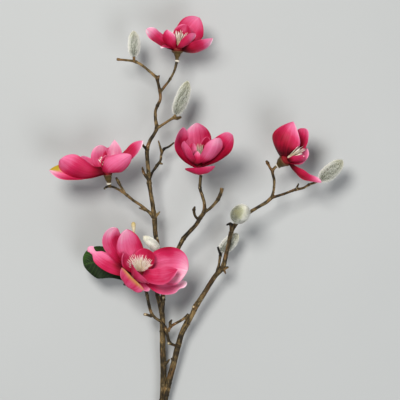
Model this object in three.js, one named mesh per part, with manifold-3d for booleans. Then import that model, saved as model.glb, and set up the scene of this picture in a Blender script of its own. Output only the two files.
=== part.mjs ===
// A cut branch of saucer magnolia, lying on a flat surface and seen from above.
//
// Millimetres. X runs to the right, Y from the cut end towards the tip, Z up; the surface is z = 0.
// Every piece is drawn on one sheet, whose origin is the foot of the picture's middle line, and the
// finished group is shifted so that its own origin lies below the middle of the branch.
//
// The branch rests on three low points: the heel of the stem and one back tepal of the left and of
// the right bloom. Wood, blooms, buds and leaf are separate solids that meet across a hair-thin gap.
import * as THREE from 'three';
import { mergeVertices } from 'three/addons/utils/BufferGeometryUtils.js';
import Module from 'manifold-3d';

const wasm = await Module();
wasm.setup();

// ---------------------------------------------------------------- driving dimensions
const SHEET_SHIFT = new THREE.Vector3(5.4, -197, 0);
const PIECE_GAP = 0.3;
const TEPAL_THICKNESS = 1.0;
const LEAF_THICKNESS = 1.0;
const STEM_SIDES = 7;
const TWIG_SIDES = 5;
const RECEPTACLE_SIDES = 8;
const BUD_SIDES = 8;
const TEPAL_STATIONS = [0, 0.25, 0.5, 0.72, 0.9, 1];
const TEPAL_COLUMNS = 4;
// A blade's claw as a share of its width, how fast it swells, where its curve would close, how far
// it flattens towards its tip, where along it a flick begins, and its waves.
const CLAW_WIDTH = 0.22;
const SWELL_POWER = 1.3;
const CLOSING_SHARE = 1.02;
const TIP_FLATTENING = 0.45;
const FLICK_START = 0.75;
const WAVE_TURNS = 11;
const WAVE_OFFSET = 1.6;
// The dome under the tepals: radii as shares of the receptacle's, then its two steps up.
const DOME_SHARE = 0.8;
const CROWN_SHARE = 0.45;
const DOME_HEIGHT = 2.5;
const CROWN_HEIGHT = 2;
const ROOT_RING = 0.55;
// The brush: its core from foot to end, and its filaments.
const CORE_SIDES = 6;
const CORE_FOOT = { step: 0.2, radius: 1.6 };
const CORE_SWELL = { step: 3, radius: 2.4 };
const CORE_END = { share: 0.75, radius: 0.8 };
const STAMEN_RADIUS = 0.9;
const STAMEN_ROOT = 2.4;
const SHORTEST_STAMEN = 0.72;
// How much wider than its stalk a piece's foot is.
const FOOT_LIP = 0.4;
const HEEL_CUT_ANGLE = THREE.MathUtils.degToRad(32);
const SLAB = 1000;

// ---------------------------------------------------------------- wood
// Rows are x, y, z and radius at each node, bend or leaf scar. A twig starts inside its parent.
const STEMS = {
  trunk: [
    [-49, -88, 5, 5.6], [-46, -65, 6, 5], [-43, -40, 7.5, 4.9], [-45, -17.5, 9, 5],
    [-47, -2, 10, 4.4],
  ],
  leader: [
    [-47, -12.5, 9.5, 4], [-46.5, 10, 10.5, 3.7], [-46, 35, 12, 3.6], [-47, 62, 14, 3.4],
    [-47, 85, 16, 3.4],
    [-47.5, 105, 18, 3.2], [-51, 121, 20.5, 2.6], [-54.5, 137, 22, 2.6], [-54, 167, 25, 2.8],
    [-53, 190, 27, 2.8],
    [-56, 209, 28.5, 2.7], [-57, 227, 30, 3], [-59.5, 245, 31.5, 2.5], [-62, 261, 33, 2.4],
    [-63.5, 271, 33.5, 2.9],
    [-64, 281, 34.5, 2.5], [-65.5, 297, 35.5, 2.2], [-66, 313, 36.5, 2.4], [-62.5, 324, 37.5, 2],
    [-57.5, 332, 38, 1.9], [-54, 340, 38.5, 2.3], [-55.5, 351, 39, 1.8], [-55.5, 361, 39.5, 1.7],
    [-53, 368, 40, 1.9], [-49.5, 376, 40.5, 1.6], [-50, 385, 41, 1.8], [-52, 395, 41.5, 1.6],
    [-54.5, 404, 42, 1.9],
  ],
  right_stem: [
    [-46, -12.5, 10.5, 3.6], [-43, 5, 13.5, 3.7], [-39.5, 20, 14.5, 3.7], [-34.5, 39, 16, 3.6],
    [-30.5, 55, 17.5, 3.4],
    [-27.5, 67, 18.5, 3.6], [-23, 82, 20, 3.2], [-16, 96, 21.5, 3.6], [-10.5, 105, 23, 3],
    [-5, 117, 24.5, 3.4],
    [4, 131, 26, 3], [12, 144, 27.5, 2.8], [20, 156, 29, 2.8], [28, 165, 31, 3.1], [32.5, 181, 33, 2.4],
    [36, 196, 35, 2.3], [39, 210, 37, 2.5], [43, 217, 38, 2.2], [51, 227, 38.5, 2.1], [62.5, 235, 39, 2],
    [74, 242, 39, 1.8], [82.5, 247, 39, 2], [89.5, 253, 39, 2.1],
  ],
};

const TWIGS = {
  tip_twig: [
    [-54.5, 403, 42, 1.8], [-62.5, 410, 42, 1.4], [-71, 417, 41.5, 1.4], [-79.5, 422, 41, 1.6],
    [-87.5, 424, 40.5, 1.3], [-97.5, 425, 40, 1.3], [-103, 425.5, 40, 1.7],
  ],
  tip_bud_stalk: [[-82, 422, 41, 1.4], [-82.5, 429, 41.5, 1.5]],
  tip_nub: [[-52.8, 398, 42, 1.5], [-51, 405, 44, 0.9]],
  top_bloom_stalk: [
    [-50, 384, 41, 1.6], [-44.5, 391, 42.5, 1.4], [-37, 401, 43.5, 1.4], [-32, 411, 44, 1.3],
    [-29, 422, 43.5, 1.6],
  ],
  side_bud_stalk: [
    [-53, 340, 38.5, 1.8], [-45, 345, 40, 1.4], [-37.5, 350, 41, 1.4], [-32.5, 353, 41.5, 1.8],
    [-30.5, 356.5, 42, 1.5],
  ],
  side_bud_knob: [[-33, 352, 41.5, 1.4], [-28.5, 352, 40.5, 1.8], [-24, 353.5, 40, 1.4]],
  leader_spur: [[-66, 312, 36.5, 1.7], [-69.5, 316, 37.5, 1.4], [-73, 321, 39, 0.9]],
  left_spur: [[-63.5, 275, 34, 1.9], [-68, 280, 36, 1.6], [-71, 286, 37.5, 1.5], [-72, 291, 38.5, 0.8]],
  right_twig: [
    [-63, 277, 34, 1.9], [-59.5, 285, 31, 1.5], [-54, 293, 28, 1.7], [-49.5, 300, 26.5, 1.4],
    [-48.5, 307, 26, 1.4], [-45, 314, 25, 1.5], [-39, 317, 25, 1.2], [-32.5, 322, 25, 0.8],
  ],
  right_twig_spur: [[-48, 308, 26, 1.3], [-49.5, 315, 28, 1.2], [-52, 324, 29.5, 0.7]],
  right_twig_nub: [[-50, 296, 26.5, 1.2], [-47, 295, 28, 0.8]],
  left_bloom_stalk: [
    [-57, 226, 30, 2.2], [-62, 233, 32, 1.9], [-67.5, 238, 33.5, 1.7], [-75, 244, 35, 1.6],
    [-84, 250, 36, 1.5],
    [-91, 256, 37, 1.6], [-100, 262, 38, 1.3], [-107.5, 266, 38.5, 1.3], [-113, 267, 39, 1.5],
  ],
  left_bloom_end: [[-112, 267, 38.5, 1.4], [-116, 266.5, 38, 1.3], [-119.5, 264, 37.5, 1.1]],
  left_bloom_seat: [[-112, 266, 38.5, 1.4], [-113.2, 270, 40.2, 1.8]],
  left_bloom_spur: [[-93, 258, 37.5, 1.2], [-99, 267, 39.5, 1.2], [-104.5, 277, 41, 0.7]],
  left_bloom_nub: [[-68, 237, 33.5, 1.3], [-76, 240, 33, 0.8]],
  leader_nub: [[-56, 229, 30, 1.5], [-50.5, 235, 32, 1]],
  middle_bloom_stalk: [
    [-47.5, 109, 18.5, 2.6], [-46.5, 125, 21, 2.6], [-45, 146, 25, 2.4], [-37.5, 170, 29, 2.3],
    [-27.5, 189, 32.5, 2.4],
    [-20.5, 202, 35, 2.6], [-12.5, 211, 37, 2.4], [-5, 219, 39, 2.3], [0.5, 228, 41, 2.5],
    [5, 235, 43, 2.5],
    [5.5, 245, 45, 1.9], [3, 255, 46.5, 1.8], [0, 265, 48, 1.8], [0.5, 274, 48.5, 1.7], [1, 281, 49, 1.9],
  ],
  cut_twig: [
    [4.5, 234, 42.5, 1.9], [10.5, 238, 43.5, 1.6], [17, 244, 44.5, 1.7], [22.5, 251, 45, 2.1],
    [26, 259, 45.5, 2.1],
    [27.5, 265, 46, 2.3],
  ],
  middle_bloom_spur: [
    [-1.5, 225, 40.5, 1.5], [-6, 230, 43, 1.5], [-7.5, 238, 44.5, 1.7], [-6.5, 241.5, 45, 1],
  ],
  right_bloom_stalk: [
    [89, 252, 39, 1.8], [92, 262, 39.5, 1.5], [92.5, 275, 40, 1.5], [90.5, 286, 40.5, 1.8],
    [93.5, 290.5, 40.5, 1.6], [95.5, 292, 40.8, 1.5],
  ],
  right_bloom_spur: [[90.5, 285, 40.5, 1.4], [87, 291, 41.5, 1.2], [84, 297, 42.5, 0.9]],
  right_bud_stalk: [
    [89.5, 253, 39, 1.8], [100, 256, 38, 1.4], [110, 259.5, 37, 1.4], [119.5, 263, 36.5, 1.7],
    [129, 265, 36, 1.3], [136, 269, 35.5, 1.4], [144, 272, 35.5, 1.3], [150, 275, 35.5, 1.5],
  ],
  right_bud_nub: [[119.5, 263, 36.5, 1.2], [123, 270, 38.5, 0.9]],
  top_nub: [[39, 211, 37, 1.9], [38.5, 217, 39, 1.6], [37.5, 221, 40, 1.7]],
  top_nub_bar: [[40.5, 220, 40, 1], [37.5, 220.5, 40, 1.4], [33.5, 219, 39.5, 1]],
  facing_bud_stalk: [[41, 214, 38.5, 1.7], [45.5, 225, 42.5, 1.7]],
  low_bud_stalk: [
    [21, 159, 28.5, 1.8], [24, 170, 25, 1.5], [25.5, 180, 22.5, 1.6], [26.5, 185, 21.5, 1.5],
  ],
  low_bud_nub: [[25.5, 181, 23, 1.3], [23.5, 187, 25, 1.2], [22.5, 191, 26, 1]],
  stem_nub_a: [[30.5, 164, 31, 1.6], [35, 166, 33, 1.1]],
  stem_nub_b: [[29.5, 164, 31, 1.4], [32, 158, 31.5, 0.9]],
  stem_nub_c: [[-4.5, 115, 24.5, 1.8], [-8.5, 116, 27.5, 1.7]],
  front_bloom_stalk: [
    [-27, 65, 20, 1.8], [-32.5, 68, 22.5, 1.5], [-38, 71, 25, 1.9], [-41, 81, 26, 1.6],
    [-44, 91, 26.5, 1.7],
    [-49.5, 98, 27.5, 1.6], [-55.5, 102, 29, 1.6], [-60.5, 108, 30.5, 1.7], [-64, 120, 32.5, 1.7],
    [-66, 131, 34.5, 1.8], [-69, 141, 36.5, 1.8], [-71.5, 147, 38.5, 1.9],
  ],
  front_bloom_nub: [[-37.5, 70, 25, 1.5], [-40, 70, 27, 1.2]],
  front_bloom_spur: [[-60, 104, 30.5, 1.5], [-65, 106, 32, 1.4], [-69.5, 107, 33.5, 1.6]],
  side_twig: [
    [-40, 85, 26, 1.4], [-37, 91, 25, 1.5], [-29, 96, 23.5, 1.2], [-21, 100.5, 22.5, 1.2],
    [-15, 106, 21.5, 1.5],
  ],
  side_twig_nub: [[-37.5, 91, 25, 1.3], [-37.5, 96, 27, 1.4], [-35.5, 99.5, 28, 1]],
  fork_spur_a: [[-45.5, 41, 12.5, 1.9], [-41, 46, 14.5, 1.3], [-38.5, 49.5, 16, 0.9]],
  fork_spur_b: [[-32, 44, 16.5, 1.7], [-35, 49, 19, 1.3], [-36, 51, 20.5, 0.9]],
  leaf_twig: [
    [-68.5, 139, 36, 1.5], [-77.5, 142, 34, 1.2], [-87.5, 144, 32.5, 1.3], [-95, 144.5, 32, 1.3],
  ],
  leaf_stalk: [[-87, 143.5, 32.5, 1.2], [-88, 147.5, 33, 1.2]],
  cream_bud_stalk: [
    [-67, 134, 35, 1.3], [-64, 149, 30, 1.1], [-67.5, 167, 28, 1], [-77.5, 187, 29, 1],
    [-82, 201, 31, 0.9], [-82.5, 208, 32, 0.9],
  ],
  pale_bud_stalk: [[-53, 180, 26.5, 1.5], [-52, 187, 34.5, 1.5]],
};

// ---------------------------------------------------------------- blooms
// Each receptacle rises from the end of its stalk through the listed rows. A tepal's mid and tip are
// offsets from the receptacle's top; face points out of its inner side, cup is the half angle, in
// degrees, that its cross-section bends through at the base, broad is where along it the tepal is
// widest, and point is how sharply it ends, from 0.5 for round to 1 for a point.
const BLOOMS = {
  top_bloom: {
    stalk: 'top_bloom_stalk',
    receptacle: [[-28.6, 426.5, 43.5, 2.6], [-28.2, 431, 44, 4.6], [-28, 435.5, 44.5, 6.4]],
    tepals: [
      { mid: [-26, 10, 4], tip: [-37, 25, 9], width: 23, face: [0.5, 0.6, 0.7], cup: 45, flick: 2 },
      { mid: [-10, 11, 12], tip: [-13, 26, 16], width: 18, face: [0.3, 0.3, -0.9], cup: 60, point: 1 },
      { mid: [9, 7, 14], tip: [19, 18, 16], width: 17, face: [-0.4, 0.6, -0.6], cup: 60 },
      { mid: [23, -1, 5], tip: [43, 13, 9], width: 21, face: [-0.3, 0.75, -0.6], cup: 50, point: 0.8 },
      { mid: [13.5, 21, -8], tip: [21, 42, 2], width: 36, face: [-0.3, -0.2, 0.9], cup: 42 },
      { mid: [3, 15.5, -3], tip: [6.5, 30.5, 3], width: 22, face: [-0.1, -0.2, 0.9], cup: 45 },
      { mid: [-14, 4, 9], tip: [-21, 3.5, 11], width: 7, face: [0.3, 0.9, 0.3], cup: 40 },
      { mid: [-7, 10, -14], tip: [-14, 20, -27], width: 18, face: [0.3, 0.5, 0.8], cup: 45 },
      { mid: [11, 6, -15], tip: [22, 15, -28], width: 20, face: [-0.3, 0.6, 0.8], cup: 45 },
    ],
    stamens: { axis: [0.14, 1, 0.25], length: 21, spread: 30, count: 18, core: 2.4 },
  },
  left_bloom: {
    stalk: 'left_bloom_seat',
    receptacle: [[-113.6, 273, 41.5, 2.8], [-114.5, 278, 44, 3.9], [-115, 283, 46.5, 4.8]],
    tepals: [
      { mid: [-42, -4, 2], tip: [-74, 4, 9], width: 23, face: [0.2, 0.6, 0.8], cup: 60, point: 0.9 },
      { mid: [-33, 4, 14], tip: [-57, 14, 16], width: 36, face: [0.2, 0.6, -0.8], cup: 70, broad: 0.68 },
      { mid: [-21, 9, -3], tip: [-34, 17, 3], width: 15, face: [0.3, 0.4, 0.8], cup: 40 },
      { mid: [-9, 17, -7], tip: [-9, 34, -2], width: 28, face: [0.1, -0.1, 1], cup: 50 },
      { mid: [8, 20, 1], tip: [7, 41, 6], width: 19, face: [-0.2, -0.2, 0.9], cup: 35, point: 1 },
      { mid: [27, 18, 2], tip: [43, 40, 8], width: 21, face: [-0.6, 0.35, 0.7], cup: 60, point: 0.8 },
      { mid: [9, 5, 15], tip: [28, 20, 18], width: 30, face: [-0.2, 0.5, -0.8], cup: 65 },
      { mid: [-4, 12, 5], tip: [0.5, 22, 9], width: 10, face: [0.1, 0.2, 0.9], cup: 40 },
      { mid: [1, 19, -6], tip: [1.5, 32, -4], width: 14, face: [0, -0.1, 1], cup: 40 },
      { mid: [0, 15, -34], tip: [3, 28, -47.1], width: 20, face: [0, 0.5, 0.8], cup: 22 },
    ],
    stamens: { axis: [-0.4, 0.85, 0.3], length: 18, spread: 30, count: 16, core: 2.2 },
  },
  middle_bloom: {
    stalk: 'middle_bloom_stalk',
    receptacle: [[1, 284.5, 50, 2.6], [0, 288.5, 52.5, 4], [-1, 292.5, 55.5, 4.8]],
    tepals: [
      { mid: [-2, 32, 3], tip: [-2.5, 52.5, 16], width: 32, face: [0, -0.5, 0.8], cup: 42, point: 0.65 },
      { mid: [-22.5, 21, 8], tip: [-18, 46, 22], width: 26, face: [0.7, -0.2, 0.6], cup: 50 },
      { mid: [-14, 12, 18], tip: [-18, 29, 30], width: 16, face: [0.5, 0.4, -0.6], cup: 55, point: 0.8 },
      { mid: [28, 15, 7], tip: [38, 39, 20], width: 32, face: [-0.7, 0, 0.6], cup: 50 },
      { mid: [15, 13, 18], tip: [22.5, 33, 30], width: 27, face: [-0.4, 0.4, -0.7], cup: 55 },
      { mid: [6, 21, 8], tip: [9, 36, 16], width: 13, face: [-0.4, -0.3, 0.7], cup: 40 },
      { mid: [-7, 17, 12], tip: [-8, 28, 19], width: 11, face: [0.4, -0.3, 0.7], cup: 40 },
      { mid: [-2, 5, 13], tip: [-2, 13, 22], width: 11, face: [0, 0.6, -0.6], cup: 40 },
      { mid: [0, -10, 15], tip: [0, -11.5, 31], width: 38, face: [0, 1, 0.2], cup: 60 },
      { mid: [4, 12, -8], tip: [8, 28, -16], width: 26, face: [0, 0.4, 0.9], cup: 45 },
    ],
    stamens: { axis: [0.1, 0.85, 0.5], length: 20, spread: 24, count: 16, core: 4 },
  },
  right_bloom: {
    stalk: 'right_bloom_stalk',
    receptacle: [[98, 293.5, 41.5, 3.8], [102, 297, 44.5, 6.4], [106, 300, 48, 8.4]],
    tepals: [
      { mid: [-3, 21, 15], tip: [10, 46, 12], width: 44, face: [0.4, 0.1, -0.9], cup: 75, point: 0.85 },
      { mid: [19, 19, -3], tip: [23, 38.5, 0], width: 20, face: [-0.6, 0, 0.8], cup: 45 },
      { mid: [18, 2, -5], tip: [25, 15, -1], width: 24, face: [-0.5, 0.3, 0.8], cup: 45 },
      { mid: [13, -1, 10], tip: [24, 3, 12], width: 17, face: [-0.1, 0.8, -0.5], cup: 60 },
      { mid: [20, -19, 2], tip: [44, -28.5, 8], width: 17, face: [0.3, 0.7, 0.6], cup: 50, point: 0.8 },
      { mid: [6, 16, -36], tip: [11, 31, -48.6], width: 22, face: [0.2, 0.5, 0.8], cup: 22 },
      { mid: [-4, 14, -10], tip: [3, 32, -16], width: 26, face: [0.2, 0.3, 0.9], cup: 45 },
      { mid: [13, 8, -14], tip: [20, 20, -26], width: 18, face: [0, 0.5, 0.8], cup: 40 },
    ],
    stamens: { axis: [0.82, 0.52, 0.25], length: 23, spread: 20, count: 16, core: 2.4 },
  },
  front_bloom: {
    stalk: 'front_bloom_stalk',
    receptacle: [[-72.5, 150, 41, 2.8], [-73.3, 154, 45, 4.2], [-73.8, 158, 49.5, 5]],
    tepals: [
      {
        mid: [-42, 11, 7], tip: [-64, 29, 13], width: 26, face: [0.3, 0, 1], cup: 40,
        broad: 0.5, point: 0.8,
      },
      { mid: [-32, 33, 11], tip: [-29, 54.5, 25], width: 28, face: [0.5, -0.4, 0.7], cup: 48 },
      { mid: [-12, 31, 13], tip: [-16, 54.5, 30], width: 38, face: [0.1, -0.5, 0.8], cup: 38 },
      { mid: [33, 9, 9], tip: [56.5, 5, 22], width: 46, face: [-0.5, 0, 0.85], cup: 38 },
      { mid: [25, -3.5, 17], tip: [44, 5, 30], width: 28, face: [-0.5, 0.4, 0.75], cup: 42, point: 0.8 },
      { mid: [27.5, -18.5, 2], tip: [54, -14, 8], width: 22, face: [-0.3, 0.5, 0.8], cup: 50 },
      {
        mid: [-6, -6, 18], tip: [-12, 12, 31], width: 24, face: [0.4, 0.8, 0.1], cup: 40,
        broad: 0.5, point: 1,
      },
      { mid: [-14.5, -16, 10], tip: [-25, 6, 25], width: 32, face: [0.6, 0.7, 0.35], cup: 50, point: 0.9 },
      { mid: [-17, 12, 9], tip: [-21, 24, 18], width: 14, face: [0.7, 0, 0.7], cup: 42 },
      { mid: [7, 18, 9], tip: [10, 30, 17], width: 22, face: [-0.2, -0.5, 0.8], cup: 42 },
      { mid: [4, -15, 3], tip: [10, -25, 5], width: 13, face: [-0.1, 0.5, 0.8], cup: 40 },
    ],
    stamens: { axis: [0.02, 0.72, 0.7], length: 25, spread: 38, count: 28, core: 3.6 },
  },
};

// ---------------------------------------------------------------- buds and leaf
// A bud starts at the end of its stalk, swells to its radius and closes at the tip.
const FUZZY_BUDS = {
  tip_bud: { stalk: 'tip_bud_stalk', tip: [-83, 460, 42], radius: 7.2 },
  side_bud: { stalk: 'side_bud_stalk', tip: [-15.5, 397.5, 45], radius: 8.7 },
  facing_bud: { stalk: 'facing_bud_stalk', tip: [51, 238, 76], radius: 12.6 },
  low_bud: { stalk: 'low_bud_stalk', tip: [47, 207, 24], radius: 8 },
  right_bud: { stalk: 'right_bud_stalk', tip: [177.5, 299, 38], radius: 9.6 },
  pale_bud: { stalk: 'pale_bud_stalk', tip: [-68, 203, 40], radius: 6.8 },
};
const CREAM_BUD = { stalk: 'cream_bud_stalk', tip: [-83.5, 222.5, 33], radius: 2.9 };
const LEAF = {
  stalk: 'leaf_stalk',
  neck: [[-89, 152, 33.5, 1.1], [-91, 158, 33.5, 1]],
  blade: { mid: [-28, 14, 1], tip: [-54, 12, -3], width: 41, face: [0, 0, 1], cup: 14, wave: 1.6 },
};

// ---------------------------------------------------------------- materials
const finish = (color, roughness) => new THREE.MeshStandardMaterial({ color, roughness, metalness: 0 });
const BARK = finish(0x6b5840, 0.9);
const TEPAL = finish(0xd4306a, 0.5);
const CREAM = finish(0xe8dcc0, 0.6);
const RECEPTACLE = finish(0x6b5522, 0.6);
const FUZZ = finish(0xb4b896, 0.95);
const BUD_CREAM = finish(0xe0d6ac, 0.7);
const LEAF_GREEN = finish(0x1f3d12, 0.45);

// ---------------------------------------------------------------- solids
const place = (row) => new THREE.Vector3(row[0], row[1], row[2]);

// Closed geometry to solid: only positions are kept, and the shared corners are merged.
function solidOf(geometry) {
  geometry.deleteAttribute('normal');
  geometry.deleteAttribute('uv');
  const merged = mergeVertices(geometry, 1e-5);
  return new wasm.Manifold(new wasm.Mesh({
    numProp: 3,
    vertProperties: new Float32Array(merged.attributes.position.array),
    triVerts: new Uint32Array(merged.index.array),
  }));
}

function fuse(solids) {
  return solids.reduce((whole, solid) => whole.add(solid));
}

// The one body that holds together, without loose scraps.
function mainBody(solid) {
  return solid.decompose().reduce((best, piece) => (piece.volume() > best.volume() ? piece : best));
}

// What lies below the surface is taken off, which leaves a small flat spot to rest on.
function restOnSurface(solid) {
  const below = new THREE.BoxGeometry(SLAB, SLAB, SLAB);
  below.translate(0, 0, -SLAB / 2);
  return solid.subtract(solidOf(below));
}

function meshOf(name, solid, material) {
  const { vertProperties, triVerts } = solid.getMesh();
  const geometry = new THREE.BufferGeometry();
  geometry.setAttribute('position', new THREE.BufferAttribute(vertProperties, 3));
  geometry.setIndex(new THREE.BufferAttribute(triVerts, 1));
  geometry.computeVertexNormals();
  const mesh = new THREE.Mesh(geometry, material);
  mesh.name = name;
  return mesh;
}

// ---------------------------------------------------------------- stems, receptacles and buds
// A cylinder bent through its rows: one ring of corners at each row, turned as little as possible
// from ring to ring. growth widens it and lengthens both ends, for cutting a neighbour clear.
function bentCylinder(rows, sides, growth = 0) {
  const centres = rows.map(place);
  const curve = new THREE.CatmullRomCurve3(centres, false, 'centripetal');
  const last = rows.length - 1;
  const frames = [];
  let normal = new THREE.Vector3(0.1, 0.2, 1);
  for (let i = 0; i <= last; i += 1) {
    const tangent = curve.getTangent(i / last);
    normal = normal.clone().addScaledVector(tangent, -normal.dot(tangent)).normalize();
    const side = new THREE.Vector3().crossVectors(tangent, normal);
    frames.push({ tangent, normal, side });
  }
  centres[0].addScaledVector(frames[0].tangent, -growth);
  centres[last].addScaledVector(frames[last].tangent, growth);
  const geometry = new THREE.CylinderGeometry(1, 1, 1, sides, last);
  const position = geometry.attributes.position;
  for (let k = 0; k < position.count; k += 1) {
    const ring = Math.round((0.5 - position.getY(k)) * last);
    const { normal: up, side } = frames[ring];
    const radius = rows[ring][3] + growth;
    const corner = centres[ring].clone();
    corner.addScaledVector(up, position.getX(k) * radius);
    corner.addScaledVector(side, position.getZ(k) * radius);
    position.setXYZ(k, corner.x, corner.y, corner.z);
  }
  return solidOf(geometry);
}

// The direction in which a row of points ends.
function endDirection(rows) {
  const curve = new THREE.CatmullRomCurve3(rows.map(place), false, 'centripetal');
  return curve.getTangent(1);
}

// Two rows that carry on straight from the end of other rows, across the gap between pieces.
function carryOn(rows, radius, straight = 1.2) {
  const end = place(rows.at(-1));
  const direction = endDirection(rows);
  return [PIECE_GAP, PIECE_GAP + straight].map((step) => {
    const point = end.clone().addScaledVector(direction, step);
    return [point.x, point.y, point.z, radius];
  });
}

function wood() {
  const stems = Object.values(STEMS).map((rows) => bentCylinder(rows, STEM_SIDES));
  const twigs = Object.values(TWIGS).map((rows) => bentCylinder(rows, TWIG_SIDES));
  const heel = place(STEMS.trunk[0]);
  const cut = new THREE.BoxGeometry(SLAB, SLAB, SLAB);
  cut.translate(0, -SLAB / 2, 0);
  cut.rotateX(-HEEL_CUT_ANGLE);
  cut.translate(heel.x, heel.y + STEMS.trunk[0][3], heel.z);
  return restOnSurface(fuse([...stems, ...twigs]).subtract(solidOf(cut)));
}

// A bud's radius at each share of its length: quick to swell, slow to taper.
const BUD_PROFILE = [
  [0.06, 0.55], [0.18, 0.85], [0.38, 1], [0.6, 0.93], [0.8, 0.72], [0.94, 0.42], [1, 0.15],
];

function bud({ stalk, tip, radius }) {
  const start = carryOn(TWIGS[stalk], TWIGS[stalk].at(-1)[3] + FOOT_LIP, 0.6);
  const base = place(start[1]);
  const point = new THREE.Vector3(...tip);
  const body = BUD_PROFILE.map(([share, swell]) => {
    const centre = base.clone().lerp(point, share);
    return [centre.x, centre.y, centre.z, radius * swell];
  });
  return bentCylinder([...start, ...body], BUD_SIDES);
}

// ---------------------------------------------------------------- blades
// The half width of a blade at the share s of its length: a narrow claw, its full width at broad,
// and an end that is round or pointed.
function bladeHalfWidth(s, { width, broad = 0.62, point = 0.5 }) {
  const rise = Math.sin(Math.min(s / broad, 1) * Math.PI / 2) ** SWELL_POWER;
  const swell = CLAW_WIDTH + (1 - CLAW_WIDTH) * rise;
  const past = Math.max(0, (s - broad) / (CLOSING_SHARE - broad));
  return 0.5 * width * swell * (1 - past * past) ** point;
}

// A blade that springs from start and is hollowed towards face, as one closed solid whose two sides
// are split into the same triangles. Its middle and tip are measured from base; growth makes it larger
// all round, for cutting a neighbour clear.
function blade(start, base, spec, thickness, growth = 0) {
  const middle = base.clone().add(new THREE.Vector3(...spec.mid));
  const tip = base.clone().add(new THREE.Vector3(...spec.tip));
  const control = middle.clone().multiplyScalar(2).sub(start.clone().add(tip).multiplyScalar(0.5));
  const midrib = new THREE.QuadraticBezierCurve3(start, control, tip);
  const face = new THREE.Vector3(...spec.face).normalize();

  const surface = (s, w) => {
    const tangent = midrib.getTangent(s);
    const inward = face.clone().addScaledVector(tangent, -face.dot(tangent)).normalize();
    const side = new THREE.Vector3().crossVectors(tangent, inward);
    const half = bladeHalfWidth(s, spec) + growth;
    const bend = THREE.MathUtils.degToRad(spec.cup) * (1 - TIP_FLATTENING * s);
    const flick = (spec.flick ?? 0) * (Math.max(0, s - FLICK_START) / (1 - FLICK_START)) ** 2;
    const ripple = Math.sin(WAVE_TURNS * s + (w > 0 ? 0 : WAVE_OFFSET));
    const wave = (spec.wave ?? 0) * w * w * ripple;
    const point = midrib.getPoint(s).addScaledVector(tangent, s === 1 ? growth : 0);
    point.addScaledVector(side, half * Math.sin(w * bend) / bend);
    point.addScaledVector(inward, half * (1 - Math.cos(w * bend)) / bend - flick + wave);
    const normal = inward.clone().multiplyScalar(Math.cos(w * bend));
    normal.addScaledVector(side, -Math.sin(w * bend));
    return { point, normal };
  };

  const rows = TEPAL_STATIONS.length;
  const columns = TEPAL_COLUMNS + 1;
  const positions = [];
  const depth = thickness / 2 + growth;
  for (const lift of [depth, -depth]) {
    for (const s of TEPAL_STATIONS) {
      for (let j = 0; j < columns; j += 1) {
        const { point, normal } = surface(s, 2 * j / TEPAL_COLUMNS - 1);
        point.addScaledVector(normal, lift);
        positions.push(point.x, point.y, point.z);
      }
    }
  }
  const index = [];
  const inner = (i, j) => i * columns + j;
  const outer = (i, j) => rows * columns + inner(i, j);
  const quad = (a, b, c, d) => index.push(a, b, c, a, c, d);
  const wall = (a, b) => quad(inner(...a), outer(...a), outer(...b), inner(...b));
  for (let i = 0; i < rows - 1; i += 1) {
    for (let j = 0; j < columns - 1; j += 1) {
      quad(inner(i, j), inner(i, j + 1), inner(i + 1, j + 1), inner(i + 1, j));
      quad(outer(i + 1, j + 1), outer(i, j + 1), outer(i, j), outer(i + 1, j));
    }
    wall([i + 1, 0], [i, 0]);
    wall([i, columns - 1], [i + 1, columns - 1]);
  }
  for (let j = 0; j < columns - 1; j += 1) {
    wall([0, j], [0, j + 1]);
    wall([rows - 1, j + 1], [rows - 1, j]);
  }
  const geometry = new THREE.BufferGeometry();
  geometry.setAttribute('position', new THREE.Float32BufferAttribute(positions, 3));
  geometry.setIndex(index);
  return solidOf(geometry);
}

// ---------------------------------------------------------------- a bloom's pieces
function receptacleRows({ stalk, receptacle }) {
  const start = carryOn(TWIGS[stalk], TWIGS[stalk].at(-1)[3] + FOOT_LIP);
  return [...start, ...receptacle];
}

// The dome that the tepals spring from, on top of the receptacle.
function domeRows(bloom) {
  const rows = receptacleRows(bloom);
  const direction = endDirection(rows);
  const radius = rows.at(-1)[3];
  const [first, second] = carryOn(rows, radius * DOME_SHARE, DOME_HEIGHT);
  const crown = place(second).addScaledVector(direction, CROWN_HEIGHT);
  return [first, second, [crown.x, crown.y, crown.z, radius * CROWN_SHARE]];
}

function tepals(bloom, growth = 0) {
  const rows = domeRows(bloom);
  const direction = endDirection(rows);
  const top = place(bloom.receptacle.at(-1));
  const middle = place(rows[1]).addScaledVector(direction, -1);
  const dome = bentCylinder(rows, RECEPTACLE_SIDES, growth);
  const blades = bloom.tepals.map((spec) => {
    const outward = new THREE.Vector3(...spec.mid);
    outward.addScaledVector(direction, -outward.dot(direction)).normalize();
    const root = middle.clone().addScaledVector(outward, ROOT_RING * rows[1][3]);
    return blade(root, top, spec, TEPAL_THICKNESS, growth);
  });
  return fuse([dome, ...blades]);
}

// A tapered filament from root to tip, three-sided.
function filament(root, tip, radius) {
  const along = tip.clone().sub(root);
  const cone = new THREE.ConeGeometry(radius, along.length(), 3);
  cone.translate(0, along.length() / 2, 0);
  const up = new THREE.Vector3(0, 1, 0);
  cone.applyQuaternion(new THREE.Quaternion().setFromUnitVectors(up, along.normalize()));
  cone.translate(root.x, root.y, root.z);
  return solidOf(cone);
}

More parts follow.
